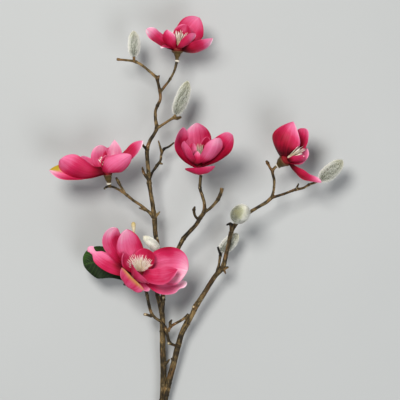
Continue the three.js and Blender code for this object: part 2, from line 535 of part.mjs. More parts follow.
// The brush of filaments round its core, spread evenly over a cone by the golden angle.
function stamens(bloom) {
  const { axis, length, spread, count, core: coreRadius } = bloom.stamens;
  const dome = domeRows(bloom);
  const foot = place(dome.at(-1)).addScaledVector(endDirection(dome), PIECE_GAP);
  const forward = new THREE.Vector3(...axis).normalize();
  const turn = new THREE.Quaternion().setFromUnitVectors(new THREE.Vector3(0, 0, 1), forward);
  const along = (step, radius) => {
    const point = foot.clone().addScaledVector(forward, step);
    return [point.x, point.y, point.z, radius];
  };
  const core = bentCylinder([
    along(CORE_FOOT.step, CORE_FOOT.radius),
    along(CORE_SWELL.step, CORE_SWELL.radius),
    along(0.5 * length, coreRadius),
    along(CORE_END.share * length, CORE_END.radius),
  ], CORE_SIDES);
  const filaments = [];
  const goldenAngle = Math.PI * (3 - Math.sqrt(5));
  for (let i = 0; i < count; i += 1) {
    const share = (i + 0.5) / count;
    const polar = THREE.MathUtils.degToRad(spread) * Math.sqrt(share);
    const direction = new THREE.Vector3().setFromSphericalCoords(1, polar, i * goldenAngle);
    direction.set(direction.x, direction.z, direction.y).applyQuaternion(turn);
    const root = foot.clone().addScaledVector(forward, STAMEN_ROOT);
    const reach = length * THREE.MathUtils.lerp(SHORTEST_STAMEN, 1, 0.5 + 0.5 * Math.cos(5 * i));
    filaments.push(filament(root, foot.clone().addScaledVector(direction, reach), STAMEN_RADIUS));
  }
  return fuse([core, ...filaments]);
}

// ---------------------------------------------------------------- assembly
const branch = new THREE.Group();
branch.position.copy(SHEET_SHIFT);
branch.add(meshOf('wood', wood(), BARK));

for (const [name, bloom] of Object.entries(BLOOMS)) {
  const rows = receptacleRows(bloom);
  const receptacle = bentCylinder(rows, RECEPTACLE_SIDES);
  const clearance = bentCylinder(rows, RECEPTACLE_SIDES, PIECE_GAP);
  const flower = mainBody(restOnSurface(tepals(bloom).subtract(clearance)));
  const brush = mainBody(stamens(bloom).subtract(tepals(bloom, PIECE_GAP)));
  branch.add(meshOf(`${name}_receptacle`, receptacle, RECEPTACLE));
  branch.add(meshOf(`${name}_tepals`, flower, TEPAL));
  branch.add(meshOf(`${name}_stamens`, brush, CREAM));
}

for (const [name, spec] of Object.entries(FUZZY_BUDS)) {
  branch.add(meshOf(name, bud(spec), FUZZ));
}
branch.add(meshOf('cream_bud', bud(CREAM_BUD), BUD_CREAM));

const leafNeck = [...carryOn(TWIGS[LEAF.stalk], 1.1), ...LEAF.neck];
const leafBase = place(leafNeck.at(-1)).addScaledVector(endDirection(leafNeck), -1);
const leafBlade = blade(leafBase, leafBase, LEAF.blade, LEAF_THICKNESS);
branch.add(meshOf('leaf', fuse([bentCylinder(leafNeck, TWIG_SIDES), leafBlade]), LEAF_GREEN));

export default branch;
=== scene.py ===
"""A cut branch of saucer magnolia that lies on a pale table, seen from above.

Sizes are millimetres on one sheet whose origin is the foot of the picture's middle line: X runs to
the right, Y towards the tip of the branch and Z up from the table. A piece is moved by SHEET_SHIFT
and turned into metres when its mesh is made.
"""

from __future__ import annotations

import logging
import math
from collections.abc import Mapping, Sequence
from dataclasses import dataclass, field
from enum import Enum

import bpy
import numpy as np
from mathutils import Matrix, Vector, kdtree, noise

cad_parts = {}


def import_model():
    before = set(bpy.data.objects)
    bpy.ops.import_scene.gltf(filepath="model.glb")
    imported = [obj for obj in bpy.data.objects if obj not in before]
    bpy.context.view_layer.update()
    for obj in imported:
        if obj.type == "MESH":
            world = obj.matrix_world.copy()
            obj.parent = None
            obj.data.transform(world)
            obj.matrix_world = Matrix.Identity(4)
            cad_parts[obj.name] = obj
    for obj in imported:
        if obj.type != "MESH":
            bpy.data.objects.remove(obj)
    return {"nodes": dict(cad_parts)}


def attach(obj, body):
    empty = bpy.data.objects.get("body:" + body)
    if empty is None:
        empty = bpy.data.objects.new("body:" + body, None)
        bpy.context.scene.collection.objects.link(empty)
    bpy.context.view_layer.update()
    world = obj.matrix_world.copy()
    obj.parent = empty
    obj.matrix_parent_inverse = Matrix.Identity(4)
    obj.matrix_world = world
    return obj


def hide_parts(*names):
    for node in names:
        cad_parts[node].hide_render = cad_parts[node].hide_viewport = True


LOG = logging.getLogger("magnolia")

Vec = tuple[float, float, float]
Row = tuple[float, float, float, float]

MILLIMETRE = 0.001
SHEET_SHIFT = np.array([5.4, -197.0, 0.0])
# The space between a piece and the next one along its stem.
PIECE_GAP = 0.3
# How far a receptacle or bud stands out past the stalk that it sits on.
FOOT_LIP = 0.4
GOLDEN_ANGLE = math.pi * (3 - math.sqrt(5))


class Stem(Enum):
    """The three thick stems."""

    TRUNK = "trunk"
    LEADER = "leader"
    RIGHT = "right_stem"


class Slot(Enum):
    """The record's material slots."""

    BARK = "bark"
    RECEPTACLE = "receptacle"
    TEPAL = "tepal"
    STAMEN = "stamen"
    FUR = "bud_hair"
    CREAM = "cream_bud"
    LEAF = "leaf"


Finishes = Mapping[Slot, bpy.types.Material]

STEMS: dict[Stem, list[Row]] = {
    Stem.TRUNK: [
        (-49, -88, 5, 5.6), (-46, -65, 6, 5), (-43, -40, 7.5, 4.9), (-45, -17.5, 9, 5),
        (-47, -2, 10, 4.4),
    ],
    Stem.LEADER: [
        (-47, -12.5, 9.5, 4), (-46.5, 10, 10.5, 3.7), (-46, 35, 12, 3.6), (-47, 62, 14, 3.4),
        (-47, 85, 16, 3.4), (-47.5, 105, 18, 3.2), (-51, 121, 20.5, 2.6), (-54.5, 137, 22, 2.6),
        (-54, 167, 25, 2.8), (-53, 190, 27, 2.8), (-56, 209, 28.5, 2.7), (-57, 227, 30, 3),
        (-59.5, 245, 31.5, 2.5), (-62, 261, 33, 2.4), (-63.5, 271, 33.5, 2.9),
        (-64, 281, 34.5, 2.5), (-65.5, 297, 35.5, 2.2), (-66, 313, 36.5, 2.4),
        (-62.5, 324, 37.5, 2), (-57.5, 332, 38, 1.9), (-54, 340, 38.5, 2.3), (-55.5, 351, 39, 1.8),
        (-55.5, 361, 39.5, 1.7), (-53, 368, 40, 1.9), (-49.5, 376, 40.5, 1.6), (-50, 385, 41, 1.8),
        (-52, 395, 41.5, 1.6), (-54.5, 404, 42, 1.9),
    ],
    Stem.RIGHT: [
        (-46, -12.5, 10.5, 3.6), (-43, 5, 13.5, 3.7), (-39.5, 20, 14.5, 3.7), (-34.5, 39, 16, 3.6),
        (-30.5, 55, 17.5, 3.4), (-27.5, 67, 18.5, 3.6), (-23, 82, 20, 3.2), (-16, 96, 21.5, 3.6),
        (-10.5, 105, 23, 3), (-5, 117, 24.5, 3.4), (4, 131, 26, 3), (12, 144, 27.5, 2.8),
        (20, 156, 29, 2.8), (28, 165, 31, 3.1), (32.5, 181, 33, 2.4), (36, 196, 35, 2.3),
        (39, 210, 37, 2.5), (43, 217, 38, 2.2), (51, 227, 38.5, 2.1), (62.5, 235, 39, 2),
        (74, 242, 39, 1.8), (82.5, 247, 39, 2), (89.5, 253, 39, 2.1),
    ],
}

TWIGS: dict[str, list[Row]] = {
    "tip_twig": [
        (-54.5, 403, 42, 1.8), (-62.5, 410, 42, 1.4), (-71, 417, 41.5, 1.4), (-79.5, 422, 41, 1.6),
        (-87.5, 424, 40.5, 1.3), (-97.5, 425, 40, 1.3), (-103, 425.5, 40, 1.7),
    ],
    "tip_bud_stalk": [(-82, 422, 41, 1.4), (-82.5, 429, 41.5, 1.5)],
    "tip_nub": [(-52.8, 398, 42, 1.5), (-51, 405, 44, 0.9)],
    "top_bloom_stalk": [
        (-50, 384, 41, 1.6), (-44.5, 391, 42.5, 1.4), (-37, 401, 43.5, 1.4), (-32, 411, 44, 1.3),
        (-29, 422, 43.5, 1.6),
    ],
    "side_bud_stalk": [
        (-53, 340, 38.5, 1.8), (-45, 345, 40, 1.4), (-37.5, 350, 41, 1.4), (-32.5, 353, 41.5, 1.8),
        (-30.5, 356.5, 42, 1.5),
    ],
    "side_bud_knob": [(-33, 352, 41.5, 1.4), (-28.5, 352, 40.5, 1.8), (-24, 353.5, 40, 1.4)],
    "leader_spur": [(-66, 312, 36.5, 1.7), (-69.5, 316, 37.5, 1.4), (-73, 321, 39, 0.9)],
    "left_spur": [
        (-63.5, 275, 34, 1.9), (-68, 280, 36, 1.6), (-71, 286, 37.5, 1.5), (-72, 291, 38.5, 0.8),
    ],
    "right_twig": [
        (-63, 277, 34, 1.9), (-59.5, 285, 31, 1.5), (-54, 293, 28, 1.7), (-49.5, 300, 26.5, 1.4),
        (-48.5, 307, 26, 1.4), (-45, 314, 25, 1.5), (-39, 317, 25, 1.2), (-32.5, 322, 25, 0.8),
    ],
    "right_twig_spur": [(-48, 308, 26, 1.3), (-49.5, 315, 28, 1.2), (-52, 324, 29.5, 0.7)],
    "right_twig_nub": [(-50, 296, 26.5, 1.2), (-47, 295, 28, 0.8)],
    "left_bloom_stalk": [
        (-57, 226, 30, 2.2), (-62, 233, 32, 1.9), (-67.5, 238, 33.5, 1.7), (-75, 244, 35, 1.6),
        (-84, 250, 36, 1.5), (-91, 256, 37, 1.6), (-100, 262, 38, 1.3), (-107.5, 266, 38.5, 1.3),
        (-113, 267, 39, 1.5),
    ],
    "left_bloom_end": [(-112, 267, 38.5, 1.4), (-116, 266.5, 38, 1.3), (-119.5, 264, 37.5, 1.1)],
    "left_bloom_seat": [(-112, 266, 38.5, 1.4), (-113.2, 270, 40.2, 1.8)],
    "left_bloom_spur": [
        (-93, 258, 37.5, 1.2), (-98, 265.5, 39, 1.3), (-101.5, 272, 40, 1.8),
        (-104.5, 277.5, 41, 1.2),
    ],
    "left_bloom_nub": [(-68, 237, 33.5, 1.3), (-76, 240, 33, 0.8)],
    "leader_nub": [(-56, 229, 30, 1.5), (-50.5, 235, 32, 1)],
    "middle_bloom_stalk": [
        (-47.5, 109, 18.5, 2.6), (-46.5, 125, 21, 2.6), (-45, 146, 25, 2.4), (-37.5, 170, 29, 2.3),
        (-27.5, 189, 32.5, 2.4), (-20.5, 202, 35, 2.6), (-12.5, 211, 37, 2.4), (-5, 219, 39, 2.3),
        (0.5, 228, 41, 2.5), (5, 235, 43, 2.5), (5.5, 245, 45, 1.9), (3, 255, 46.5, 1.8),
        (0, 265, 48, 1.8), (0.5, 274, 48.5, 1.7), (1, 281, 49, 1.9),
    ],
    "cut_twig": [
        (4.5, 234, 42.5, 1.9), (10.5, 238, 43.5, 1.6), (17, 244, 44.5, 1.7), (22.5, 251, 45, 2.1),
        (26, 259, 45.5, 2.1), (27.5, 265, 46, 2.3),
    ],
    "middle_bloom_spur": [
        (-1.5, 225, 40.5, 1.5), (-6, 230, 43, 1.5), (-7.5, 238, 44.5, 1.7), (-6.5, 241.5, 45, 1),
    ],
    "right_bloom_stalk": [
        (89, 252, 39, 1.8), (92, 262, 39.5, 1.5), (92.5, 275, 40, 1.5), (90.5, 286, 40.5, 1.8),
        (93.5, 290.5, 40.5, 1.6), (95.5, 292, 40.8, 1.5),
    ],
    "right_bloom_spur": [
        (90.5, 285, 40.5, 1.4), (87, 291, 41.5, 1.3), (84.5, 296, 42.5, 1.7), (83, 298.5, 43, 1.4),
    ],
    "right_bud_stalk": [
        (89.5, 253, 39, 1.8), (100, 256, 38, 1.4), (110, 259.5, 37, 1.4), (119.5, 263, 36.5, 1.7),
        (129, 265, 36, 1.3), (136, 269, 35.5, 1.4), (144, 272, 35.5, 1.3), (150, 275, 35.5, 1.5),
    ],
    "right_bud_nub": [(119.5, 263, 36.5, 1.2), (123, 270, 38.5, 0.9)],
    "top_nub": [(39, 211, 37, 1.9), (38.5, 217, 39, 1.6), (37.5, 221, 40, 1.7)],
    "top_nub_bar": [(40.5, 220, 40, 1), (37.5, 220.5, 40, 1.4), (33.5, 219, 39.5, 1)],
    "facing_bud_stalk": [(41, 214, 38.5, 1.7), (45.5, 225, 42.5, 1.7)],
    "low_bud_stalk": [
        (21, 159, 28.5, 1.8), (24, 170, 25, 1.5), (25.5, 180, 22.5, 1.6), (26.5, 185, 21.5, 1.5),
    ],
    "low_bud_nub": [(25.5, 181, 23, 1.3), (23.5, 187, 25, 1.2), (22.5, 191, 26, 1)],
    "stem_nub_a": [(30.5, 164, 31, 1.6), (35, 166, 33, 1.1)],
    "stem_nub_b": [(29.5, 164, 31, 1.4), (32, 158, 31.5, 0.9)],
    "stem_nub_c": [(-4.5, 115, 24.5, 1.8), (-8.5, 116, 27.5, 1.7)],
    "front_bloom_stalk": [
        (-27, 65, 20, 1.8), (-32.5, 68, 22.5, 1.5), (-38, 71, 25, 1.9), (-41, 81, 26, 1.6),
        (-44, 91, 26.5, 1.7), (-49.5, 98, 27.5, 1.6), (-55.5, 102, 29, 1.6),
        (-60.5, 108, 30.5, 1.7), (-64, 120, 32.5, 1.7), (-66, 131, 34.5, 1.8),
        (-69, 141, 36.5, 1.8), (-71.5, 147, 38.5, 1.9),
    ],
    "front_bloom_nub": [(-37.5, 70, 25, 1.5), (-40, 70, 27, 1.2)],
    "front_bloom_spur": [(-60, 104, 30.5, 1.5), (-65, 106, 32, 1.4), (-69.5, 107, 33.5, 1.6)],
    "side_twig": [
        (-40, 85, 26, 1.6), (-37, 91, 25, 1.7), (-29, 96, 23.5, 1.5), (-21, 100.5, 22.5, 1.5),
        (-15, 106, 21.5, 1.8),
    ],
    "side_twig_nub": [(-37.5, 91, 25, 1.5), (-37.5, 96, 27, 1.6), (-35.5, 99.5, 28, 1.2)],
    "fork_spur_a": [(-45.5, 41, 12.5, 1.9), (-41, 46, 14.5, 1.3), (-38.5, 49.5, 16, 0.9)],
    "fork_spur_b": [(-32, 44, 16.5, 1.7), (-35, 49, 19, 1.3), (-36, 51, 20.5, 0.9)],
    "leaf_twig": [
        (-68.5, 139, 36, 1.5), (-77.5, 142, 34, 1.2), (-87.5, 144, 32.5, 1.3),
        (-95, 144.5, 32, 1.3),
    ],
    "leaf_stalk": [(-87, 143.5, 32.5, 1.2), (-88, 147.5, 33, 1.2)],
    "cream_bud_stalk": [
        (-67, 134, 35, 1.3), (-64, 149, 30, 1.1), (-67.5, 167, 28, 1), (-77.5, 187, 29, 1),
        (-82, 201, 31, 0.9), (-82.5, 208, 32, 0.9),
    ],
    "pale_bud_stalk": [(-53, 180, 26.5, 1.5), (-52, 187, 34.5, 1.5)],
}

# How much darker than the rest a stem's bark is, or paler where it is below 0.
DARK_STEMS: dict[str, float] = {
    "middle_bloom_stalk": 0.15, "middle_bloom_spur": 0.3, "front_bloom_stalk": 0.1,
    "right_twig": 0.3, "right_twig_spur": 0.3, "top_nub": 0.8, "top_nub_bar": 1.0,
    "low_bud_nub": 0.8, "leaf_twig": 1.0, "right_bud_nub": 0.8, "left_bloom_end": 0.6,
    "tip_twig": -0.45, "tip_bud_stalk": -0.3, "side_bud_stalk": -0.4, "side_bud_knob": -0.4,
    "left_bloom_stalk": -0.25, "tip_nub": 0.5,
}


# ------------------------------------------------------------------ shading
def rgba(code: int) -> Row:
    """Turns a six-digit display colour into linear red, green, blue and alpha.

    Args:
        code: The colour as 0xRRGGBB.

    Returns:
        The linear colour, opaque.
    """
    channels = [((code >> shift) & 255) / 255 for shift in (16, 8, 0)]
    linear = [c / 12.92 if c <= 0.04045 else ((c + 0.055) / 1.055) ** 2.4 for c in channels]
    return (linear[0], linear[1], linear[2], 1.0)


class Value:
    """A number on a node's output that Python arithmetic turns into Math nodes."""

    def __init__(self, nodes: Nodes, socket: bpy.types.NodeSocket) -> None:
        """Wraps a socket of one node tree."""
        self.nodes = nodes
        self.socket = socket

    def _math(self, operation: str, first: Value | float, second: Value | float) -> Value:
        """Adds one Math node with two inputs."""
        return self.nodes.value("ShaderNodeMath", {"operation": operation}, {0: first, 1: second})

    def __add__(self, other: Value | float) -> Value:
        """Adds."""
        return self._math("ADD", self, other)

    def __radd__(self, other: Value | float) -> Value:
        """Adds, with the number on the left."""
        return self._math("ADD", other, self)

    def __sub__(self, other: Value | float) -> Value:
        """Subtracts."""
        return self._math("SUBTRACT", self, other)

    def __rsub__(self, other: Value | float) -> Value:
        """Subtracts this from a number."""
        return self._math("SUBTRACT", other, self)

    def __mul__(self, other: Value | float) -> Value:
        """Multiplies."""
        return self._math("MULTIPLY", self, other)

    def __rmul__(self, other: Value | float) -> Value:
        """Multiplies, with the number on the left."""
        return self._math("MULTIPLY", other, self)

    def smooth(self, low: float, high: float) -> Value:
        """Goes smoothly from 0 at low to 1 at high."""
        inputs = {"Value": self, "From Min": low, "From Max": high}
        return self.nodes.value("ShaderNodeMapRange", {"interpolation_type": "SMOOTHSTEP"}, inputs)


class Nodes:
    """The node tree of one material."""

    def __init__(self, name: str) -> None:
        """Starts an empty tree.

        Args:
            name: The material's name.
        """
        self.material = bpy.data.materials.new(name)
        self.material.use_nodes = True
        self.tree = self.material.node_tree
        self.tree.nodes.clear()

    def node(self, kind: str, settings: Mapping[str, object] | None = None,
             inputs: Mapping[str | int, object] | None = None) -> bpy.types.Node:
        """Adds a node.

        Args:
            kind: The node's type.
            settings: Its properties; stops is a ramp's list of (place, colour).
            inputs: A number, colour, Value or socket for each named or numbered input.

        Returns:
            The node.
        """
        made = self.tree.nodes.new(kind)
        for key, setting in (settings or {}).items():
            if key == "stops":
                ramp = made.color_ramp
                for place, _ in setting[2:]:
                    ramp.elements.new(place)
                for element, (place, colour) in zip(ramp.elements, setting):
                    element.position = place
                    element.color = colour
            else:
                setattr(made, key, setting)
        for key, source in (inputs or {}).items():
            if isinstance(source, Value):
                source = source.socket
            if isinstance(source, bpy.types.NodeSocket):
                self.tree.links.new(source, made.inputs[key])
            else:
                made.inputs[key].default_value = source
        return made

    def value(self, kind: str, settings: Mapping[str, object] | None = None,
              inputs: Mapping[str | int, object] | None = None, output: str | int = 0) -> Value:
        """Adds a node and wraps one of its outputs as a number."""
        return Value(self, self.node(kind, settings, inputs).outputs[output])

    def corner_value(self, name: str) -> Value:
        """Reads a number that the mesh keeps at each corner."""
        return self.value("ShaderNodeAttribute", {"attribute_name": name}, output="Fac")

    def corner_place(self, name: str) -> bpy.types.NodeSocket:
        """Reads a place that the mesh keeps at each corner."""
        return self.node("ShaderNodeAttribute", {"attribute_name": name}).outputs["Vector"]

    def place(self) -> bpy.types.NodeSocket:
        """The place on the piece, in metres."""
        return self.node("ShaderNodeTexCoord").outputs["Object"]

    def joined(self, x: Value, y: Value, z: Value) -> bpy.types.NodeSocket:
        """Joins three numbers into a place."""
        return self.node("ShaderNodeCombineXYZ", {}, {"X": x, "Y": y, "Z": z}).outputs[0]

    def stretched(self, place: bpy.types.NodeSocket, by: Vec) -> bpy.types.NodeSocket:
        """Multiplies a place by three numbers."""
        settings = {"operation": "MULTIPLY"}
        return self.node("ShaderNodeVectorMath", settings, {0: place, 1: by}).outputs[0]

    def noise(self, place: bpy.types.NodeSocket, scale: float, detail: float = 3.0,
              roughness: float = 0.55) -> Value:
        """Adds a noise texture from 0 to 1."""
        inputs = {"Vector": place, "Scale": scale, "Detail": detail, "Roughness": roughness}
        return self.value("ShaderNodeTexNoise", {}, inputs)

    def ramp(self, factor: Value, *stops: tuple[float, int]) -> bpy.types.NodeSocket:
        """Adds a colour ramp through stops of place and colour code."""
        settings = {"stops": [(place, rgba(code)) for place, code in stops]}
        return self.node("ShaderNodeValToRGB", settings, {"Fac": factor}).outputs[0]

    def mixed(self, factor: Value, first: bpy.types.NodeSocket | int,
              second: int) -> bpy.types.NodeSocket:
        """Mixes two colours.

        Args:
            factor: The second colour's share.
            first: A colour's socket, or its code.
            second: A colour's code.

        Returns:
            The mixed colour.
        """
        start = rgba(first) if isinstance(first, int) else first
        inputs = {"Factor": factor, 6: start, 7: rgba(second)}
        return self.node("ShaderNodeMix", {"data_type": "RGBA"}, inputs).outputs[2]

    def bump(self, height: Value, strength: float, depth: float) -> bpy.types.NodeSocket:
        """Turns a height from 0 to 1 into a normal, for a strength and a depth in millimetres."""
        inputs = {"Strength": strength, "Distance": depth * MILLIMETRE, "Height": height}
        return self.node("ShaderNodeBump", {}, inputs).outputs[0]

    def finish(self, **sockets: object) -> bpy.types.Material:
        """Adds the surface shader and the output.

        Args:
            sockets: The shader's inputs, with their spaces written as underscores.

        Returns:
            The material.
        """
        inputs = {key.replace("_", " "): source for key, source in sockets.items()}
        shader = self.node("ShaderNodeBsdfPrincipled", {}, inputs)
        self.node("ShaderNodeOutputMaterial", {}, {"Surface": shader.outputs[0]})
        return self.material


@dataclass(frozen=True)
class BarkFinish:
    """Brown bark with long wrinkles, pale specks, painted glints, dark scars and a fresh cut at the
    heel.
    """

    furrow: int = 0x120d06
    brown: int = 0x3d311a
    tan: int = 0x8c744a
    rust: int = 0x6a3c16
    # The colour of the pale specks and also of the painted glints.
    speck: int = 0xd0c09a
    fresh_wood: int = 0xd8c795
    streak_scale: float = 0.9
    fine_scale: float = 3.2
    blotch_scale: float = 0.1
    rust_scale: float = 0.05
    speck_scale: float = 0.36
    ring_scale: float = 1.6
    relief: float = 0.5

    def material(self) -> bpy.types.Material:
        """Builds the bark's material.

        Returns:
            The material.
        """
        n = Nodes("bark")
        grain = n.corner_place("grain")
        streaks = n.noise(n.stretched(grain, (1.0, 1.0, 0.12)), self.streak_scale, 4.0, 0.6)
        blotches = n.noise(grain, self.blotch_scale)
        fine = n.noise(n.stretched(grain, (1.0, 1.0, 0.3)), self.fine_scale, 2.0, 0.6)
        darkness = n.corner_value("dark") * 0.35
        tone = streaks * 1.1 + blotches * 1.35 + fine * 0.55 - darkness - 1.0
        rusty = n.noise(grain, self.rust_scale, 2.0).smooth(0.5, 0.68) * tone.smooth(0.3, 0.6)
        bark = n.ramp(tone, (0.2, self.furrow), (0.48, self.brown), (0.82, self.tan))
        colour = n.mixed(rusty * 0.5, bark, self.rust)
        cells = n.value("ShaderNodeTexVoronoi", {}, {
            "Vector": n.stretched(grain, (1.0, 1.0, 0.55)), "Scale": self.speck_scale,
            "Randomness": 1.0}, "Distance")
        specks = 1.0 - cells.smooth(0.08, 0.2)
        colour = n.mixed(specks * blotches.smooth(0.42, 0.6) * 0.8, colour, self.speck)
        # Painted glints: pale spots at given places on the bark.
        colour = n.mixed(n.corner_value("speck") * 0.9, colour, self.speck)
        colour = n.mixed(n.corner_value("scar") * 0.5, colour, self.furrow)
        rings = n.noise(n.stretched(grain, (1.0, 1.0, 0.0)), self.ring_scale, 1.0)
        colour = n.mixed(n.corner_value("cut") * (0.75 + rings * 0.25), colour, self.fresh_wood)
        height = streaks * 0.7 + fine * 0.35 + specks * 0.35
        return n.finish(Base_Color=colour, Roughness=0.55 + fine * 0.25, Specular_IOR_Level=0.25,
                        Normal=n.bump(height, 0.7, self.relief))


@dataclass(frozen=True)
class PetalFinish:
    """A satin tepal: crimson, pink and pale tones with fine veins that run from base to tip."""

    maroon: int = 0x3c0209
    crimson: int = 0x9a0c2c
    rose: int = 0xc22452
    pink: int = 0xe06a94
    blush: int = 0xf0a8c2
    white: int = 0xffe2ea
    olive: int = 0xb39b2e
    broad_veins: float = 9.0
    fine_veins: float = 34.0
    cloud_scale: float = 70.0
    relief: float = 0.4

    def material(self) -> bpy.types.Material:
        """Builds the tepals' material.

        Returns:
            The material.
        """
        n = Nodes("tepal")
        along, across, seed = (n.corner_value(name) for name in ("along", "across", "seed"))
        broad = n.noise(n.joined(across * self.broad_veins, along * 0.8, seed), 1.0, 3.0, 0.6)
        fine = n.noise(n.joined(across * self.fine_veins, along * 1.6, seed), 1.0, 2.0, 0.5)
        clouds = n.noise(n.place(), self.cloud_scale, 2.0)
        # The corner paleness holds painted light and shade as well as the tepal's own tones.
        tone = (n.corner_value("pale") + (broad - 0.5) * 0.22 + (fine - 0.5) * 0.15
                + (clouds - 0.5) * 0.16)
        petal = n.ramp(tone, (0.0, self.maroon), (0.2, self.crimson), (0.42, self.rose),
                       (0.63, self.pink), (0.84, self.blush), (1.0, self.white))
        height = fine * 0.5 + broad * 0.5
        return n.finish(Base_Color=n.mixed(n.corner_value("olive"), petal, self.olive),
                        Roughness=0.4 + fine * 0.16, Specular_IOR_Level=0.14,
                        Subsurface_Weight=0.06, Subsurface_Radius=(1.0, 0.2, 0.3),
                        Subsurface_Scale=0.0012, Normal=n.bump(height, 0.7, self.relief))


@dataclass(frozen=True)
class BrushFinish:
    """Cream stamens that are flushed at the root and nearly white at the tip."""

    root: int = 0xd8a878
    cream: int = 0xf3e4c0
    tip: int = 0xfffaf0
    core: int = 0x9a7c50
    grain_scale: float = 900.0
    relief: float = 0.2

    def material(self) -> bpy.types.Material:
        """Builds the stamens' material.

        Returns:
            The material.
        """
        n = Nodes("stamen")
        grain = n.noise(n.place(), self.grain_scale, 2.0)
        shade = (grain - 0.5) * 0.2
        tone = n.corner_value("along") + shade + (n.corner_value("seed") - 0.5) * 0.15
        thread = n.ramp(tone, (0.0, self.root), (0.3, self.cream), (0.85, self.tip))
        return n.finish(Base_Color=n.mixed(n.corner_value("core"), thread, self.core),
                        Roughness=0.55 + grain * 0.2, Specular_IOR_Level=0.3,
                        Subsurface_Weight=0.1, Subsurface_Radius=(1.0, 0.7, 0.4),
                        Subsurface_Scale=0.0008, Normal=n.bump(grain, 0.3, self.relief))


@dataclass(frozen=True)
class ReceptacleFinish:
    """Olive brown with a pale ring at its foot, flushed crimson where the tepals begin."""

    ring: int = 0xd9d2c2
    olive: int = 0x5a4717
    brown: int = 0x3b2a10
    flush: int = 0x7c1522
    streak_scale: float = 900.0
    mottle_scale: float = 260.0
    relief: float = 0.4

    def material(self) -> bpy.types.Material:
        """Builds the receptacles' material.

        Returns:
            The material.
        """
        n = Nodes("receptacle")
        along, place = n.corner_value("along"), n.place()
        streaks = n.noise(n.stretched(place, (1.0, 0.35, 0.35)), self.streak_scale)
        mottle = n.noise(place, self.mottle_scale)
        tone = streaks * 0.6 + mottle * 0.5 - 0.05
        colour = n.ramp(tone, (0.3, self.brown), (0.7, self.olive))
        flushed = (along + (streaks - 0.5) * 0.3).smooth(0.8, 1.1)
        colour = n.mixed(flushed * 0.35, colour, self.flush)
        colour = n.mixed((1.0 - along.smooth(0.1, 0.2)) * 0.95, colour, self.ring)
        return n.finish(Base_Color=colour, Roughness=0.5 + mottle * 0.25, Specular_IOR_Level=0.4,
                        Normal=n.bump(streaks, 0.5, self.relief))


@dataclass(frozen=True)
class FurFinish:
    """Silky hairs: olive grey skin, silver hairs with near-white ends, warmer near the tip."""

    skin: int = 0x565a42
    silver: int = 0xb7bca3
    white: int = 0xfbfaf2
    warm: int = 0xd9d29c
    mottle_scale: float = 330.0
    relief: float = 0.3

    def material(self) -> bpy.types.Material:
        """Builds the buds' material.

        Returns:
            The material.
        """
        n = Nodes("bud_hair")
        along, seed = n.corner_value("along"), n.corner_value("seed")
        mottle = n.noise(n.place(), self.mottle_scale)
        tone = along * 0.75 + seed * 0.25 + (mottle - 0.5) * 0.35
        colour = n.ramp(tone, (0.08, self.skin), (0.36, self.silver), (0.66, self.white))
        colour = n.mixed(n.corner_value("crown").smooth(0.55, 1.0) * 0.28, colour, self.warm)
        return n.finish(Base_Color=colour, Roughness=0.6 + mottle * 0.2, Specular_IOR_Level=0.3,
                        Sheen_Weight=0.7, Sheen_Roughness=0.35,
                        Normal=n.bump(mottle, 0.3, self.relief))


@dataclass(frozen=True)
class CreamFinish:
    """A small smooth bud, cream with a golden crown."""

    cream: int = 0xdfd6b2
    gold: int = 0xc2ab6a
    stalk: int = 0xb8b478
    grain_scale: float = 500.0
    relief: float = 0.3

    def material(self) -> bpy.types.Material:
        """Builds the small bud's material.

        Returns:
            The material.
        """
        n = Nodes("cream_bud")
        grain = n.noise(n.place(), self.grain_scale)
        tone = n.corner_value("along") + (grain - 0.5) * 0.35
        colour = n.ramp(tone, (0.0, self.stalk), (0.35, self.cream), (0.95, self.gold))
        return n.finish(Base_Color=colour, Roughness=0.5 + grain * 0.2,
                        Normal=n.bump(grain, 0.4, self.relief), Subsurface_Weight=0.1,
                        Subsurface_Radius=(1.0, 0.8, 0.4), Subsurface_Scale=0.001)


@dataclass(frozen=True)
class LeafFinish:
    """A dark green blade, lighter along its veins, and lighter towards its tip and one rim as
    painted light.
    """

    dark: int = 0x081402
    green: int = 0x162c07
    light: int = 0x36591c
    vein: int = 0x4d7030
    mottle_scale: float = 110.0
    net_scale: float = 620.0
    relief: float = 0.3

    def material(self) -> bpy.types.Material:
        """Builds the leaf's material.

        Returns:
            The material.
        """
        n = Nodes("leaf")
        veins, place = n.corner_value("vein"), n.place()
        mottle = n.noise(place, self.mottle_scale)
        net = n.value("ShaderNodeTexVoronoi", {"feature": "DISTANCE_TO_EDGE"},
                      {"Vector": place, "Scale": self.net_scale})
        tone = n.corner_value("pale") + (mottle - 0.5) * 0.3
        colour = n.ramp(tone, (0.1, self.dark), (0.5, self.green), (0.95, self.light))
        height = net.smooth(0.0, 0.12) * 0.4 + mottle * 0.4 - veins * 0.35
        return n.finish(Base_Color=n.mixed(veins * 0.3, colour, self.vein),
                        Roughness=0.5 + mottle * 0.2, Specular_IOR_Level=0.22,
                        Normal=n.bump(height, 0.5, self.relief))


@dataclass(frozen=True)
class TableFinish:
    """A plain pale table."""

    pale: int = 0xb9bbba
    shade: int = 0xb1b3b2
    cloud_scale: float = 3.0

    def material(self) -> bpy.types.Material:
        """Builds the table's material.

        Returns:
            The material.
        """
        n = Nodes("table")
        cloud = n.noise(n.place(), self.cloud_scale)
        return n.finish(Base_Color=n.mixed(cloud, self.pale, self.shade), Roughness=0.75)


# ------------------------------------------------------------------ meshes
def unit(vectors: np.ndarray) -> np.ndarray:
    """Scales vectors to length one."""
    return vectors / np.linalg.norm(vectors, axis=-1, keepdims=True)


def smooth(values: np.ndarray, low: float, high: float) -> np.ndarray:
    """Goes smoothly from 0 at low to 1 at high."""
    t = np.clip((values - low) / (high - low), 0.0, 1.0)
    return t * t * (3 - 2 * t)


def full_turn(count: int) -> np.ndarray:
    """The angles of evenly spaced corners round a ring."""
    return np.arange(count) * 2 * math.pi / count


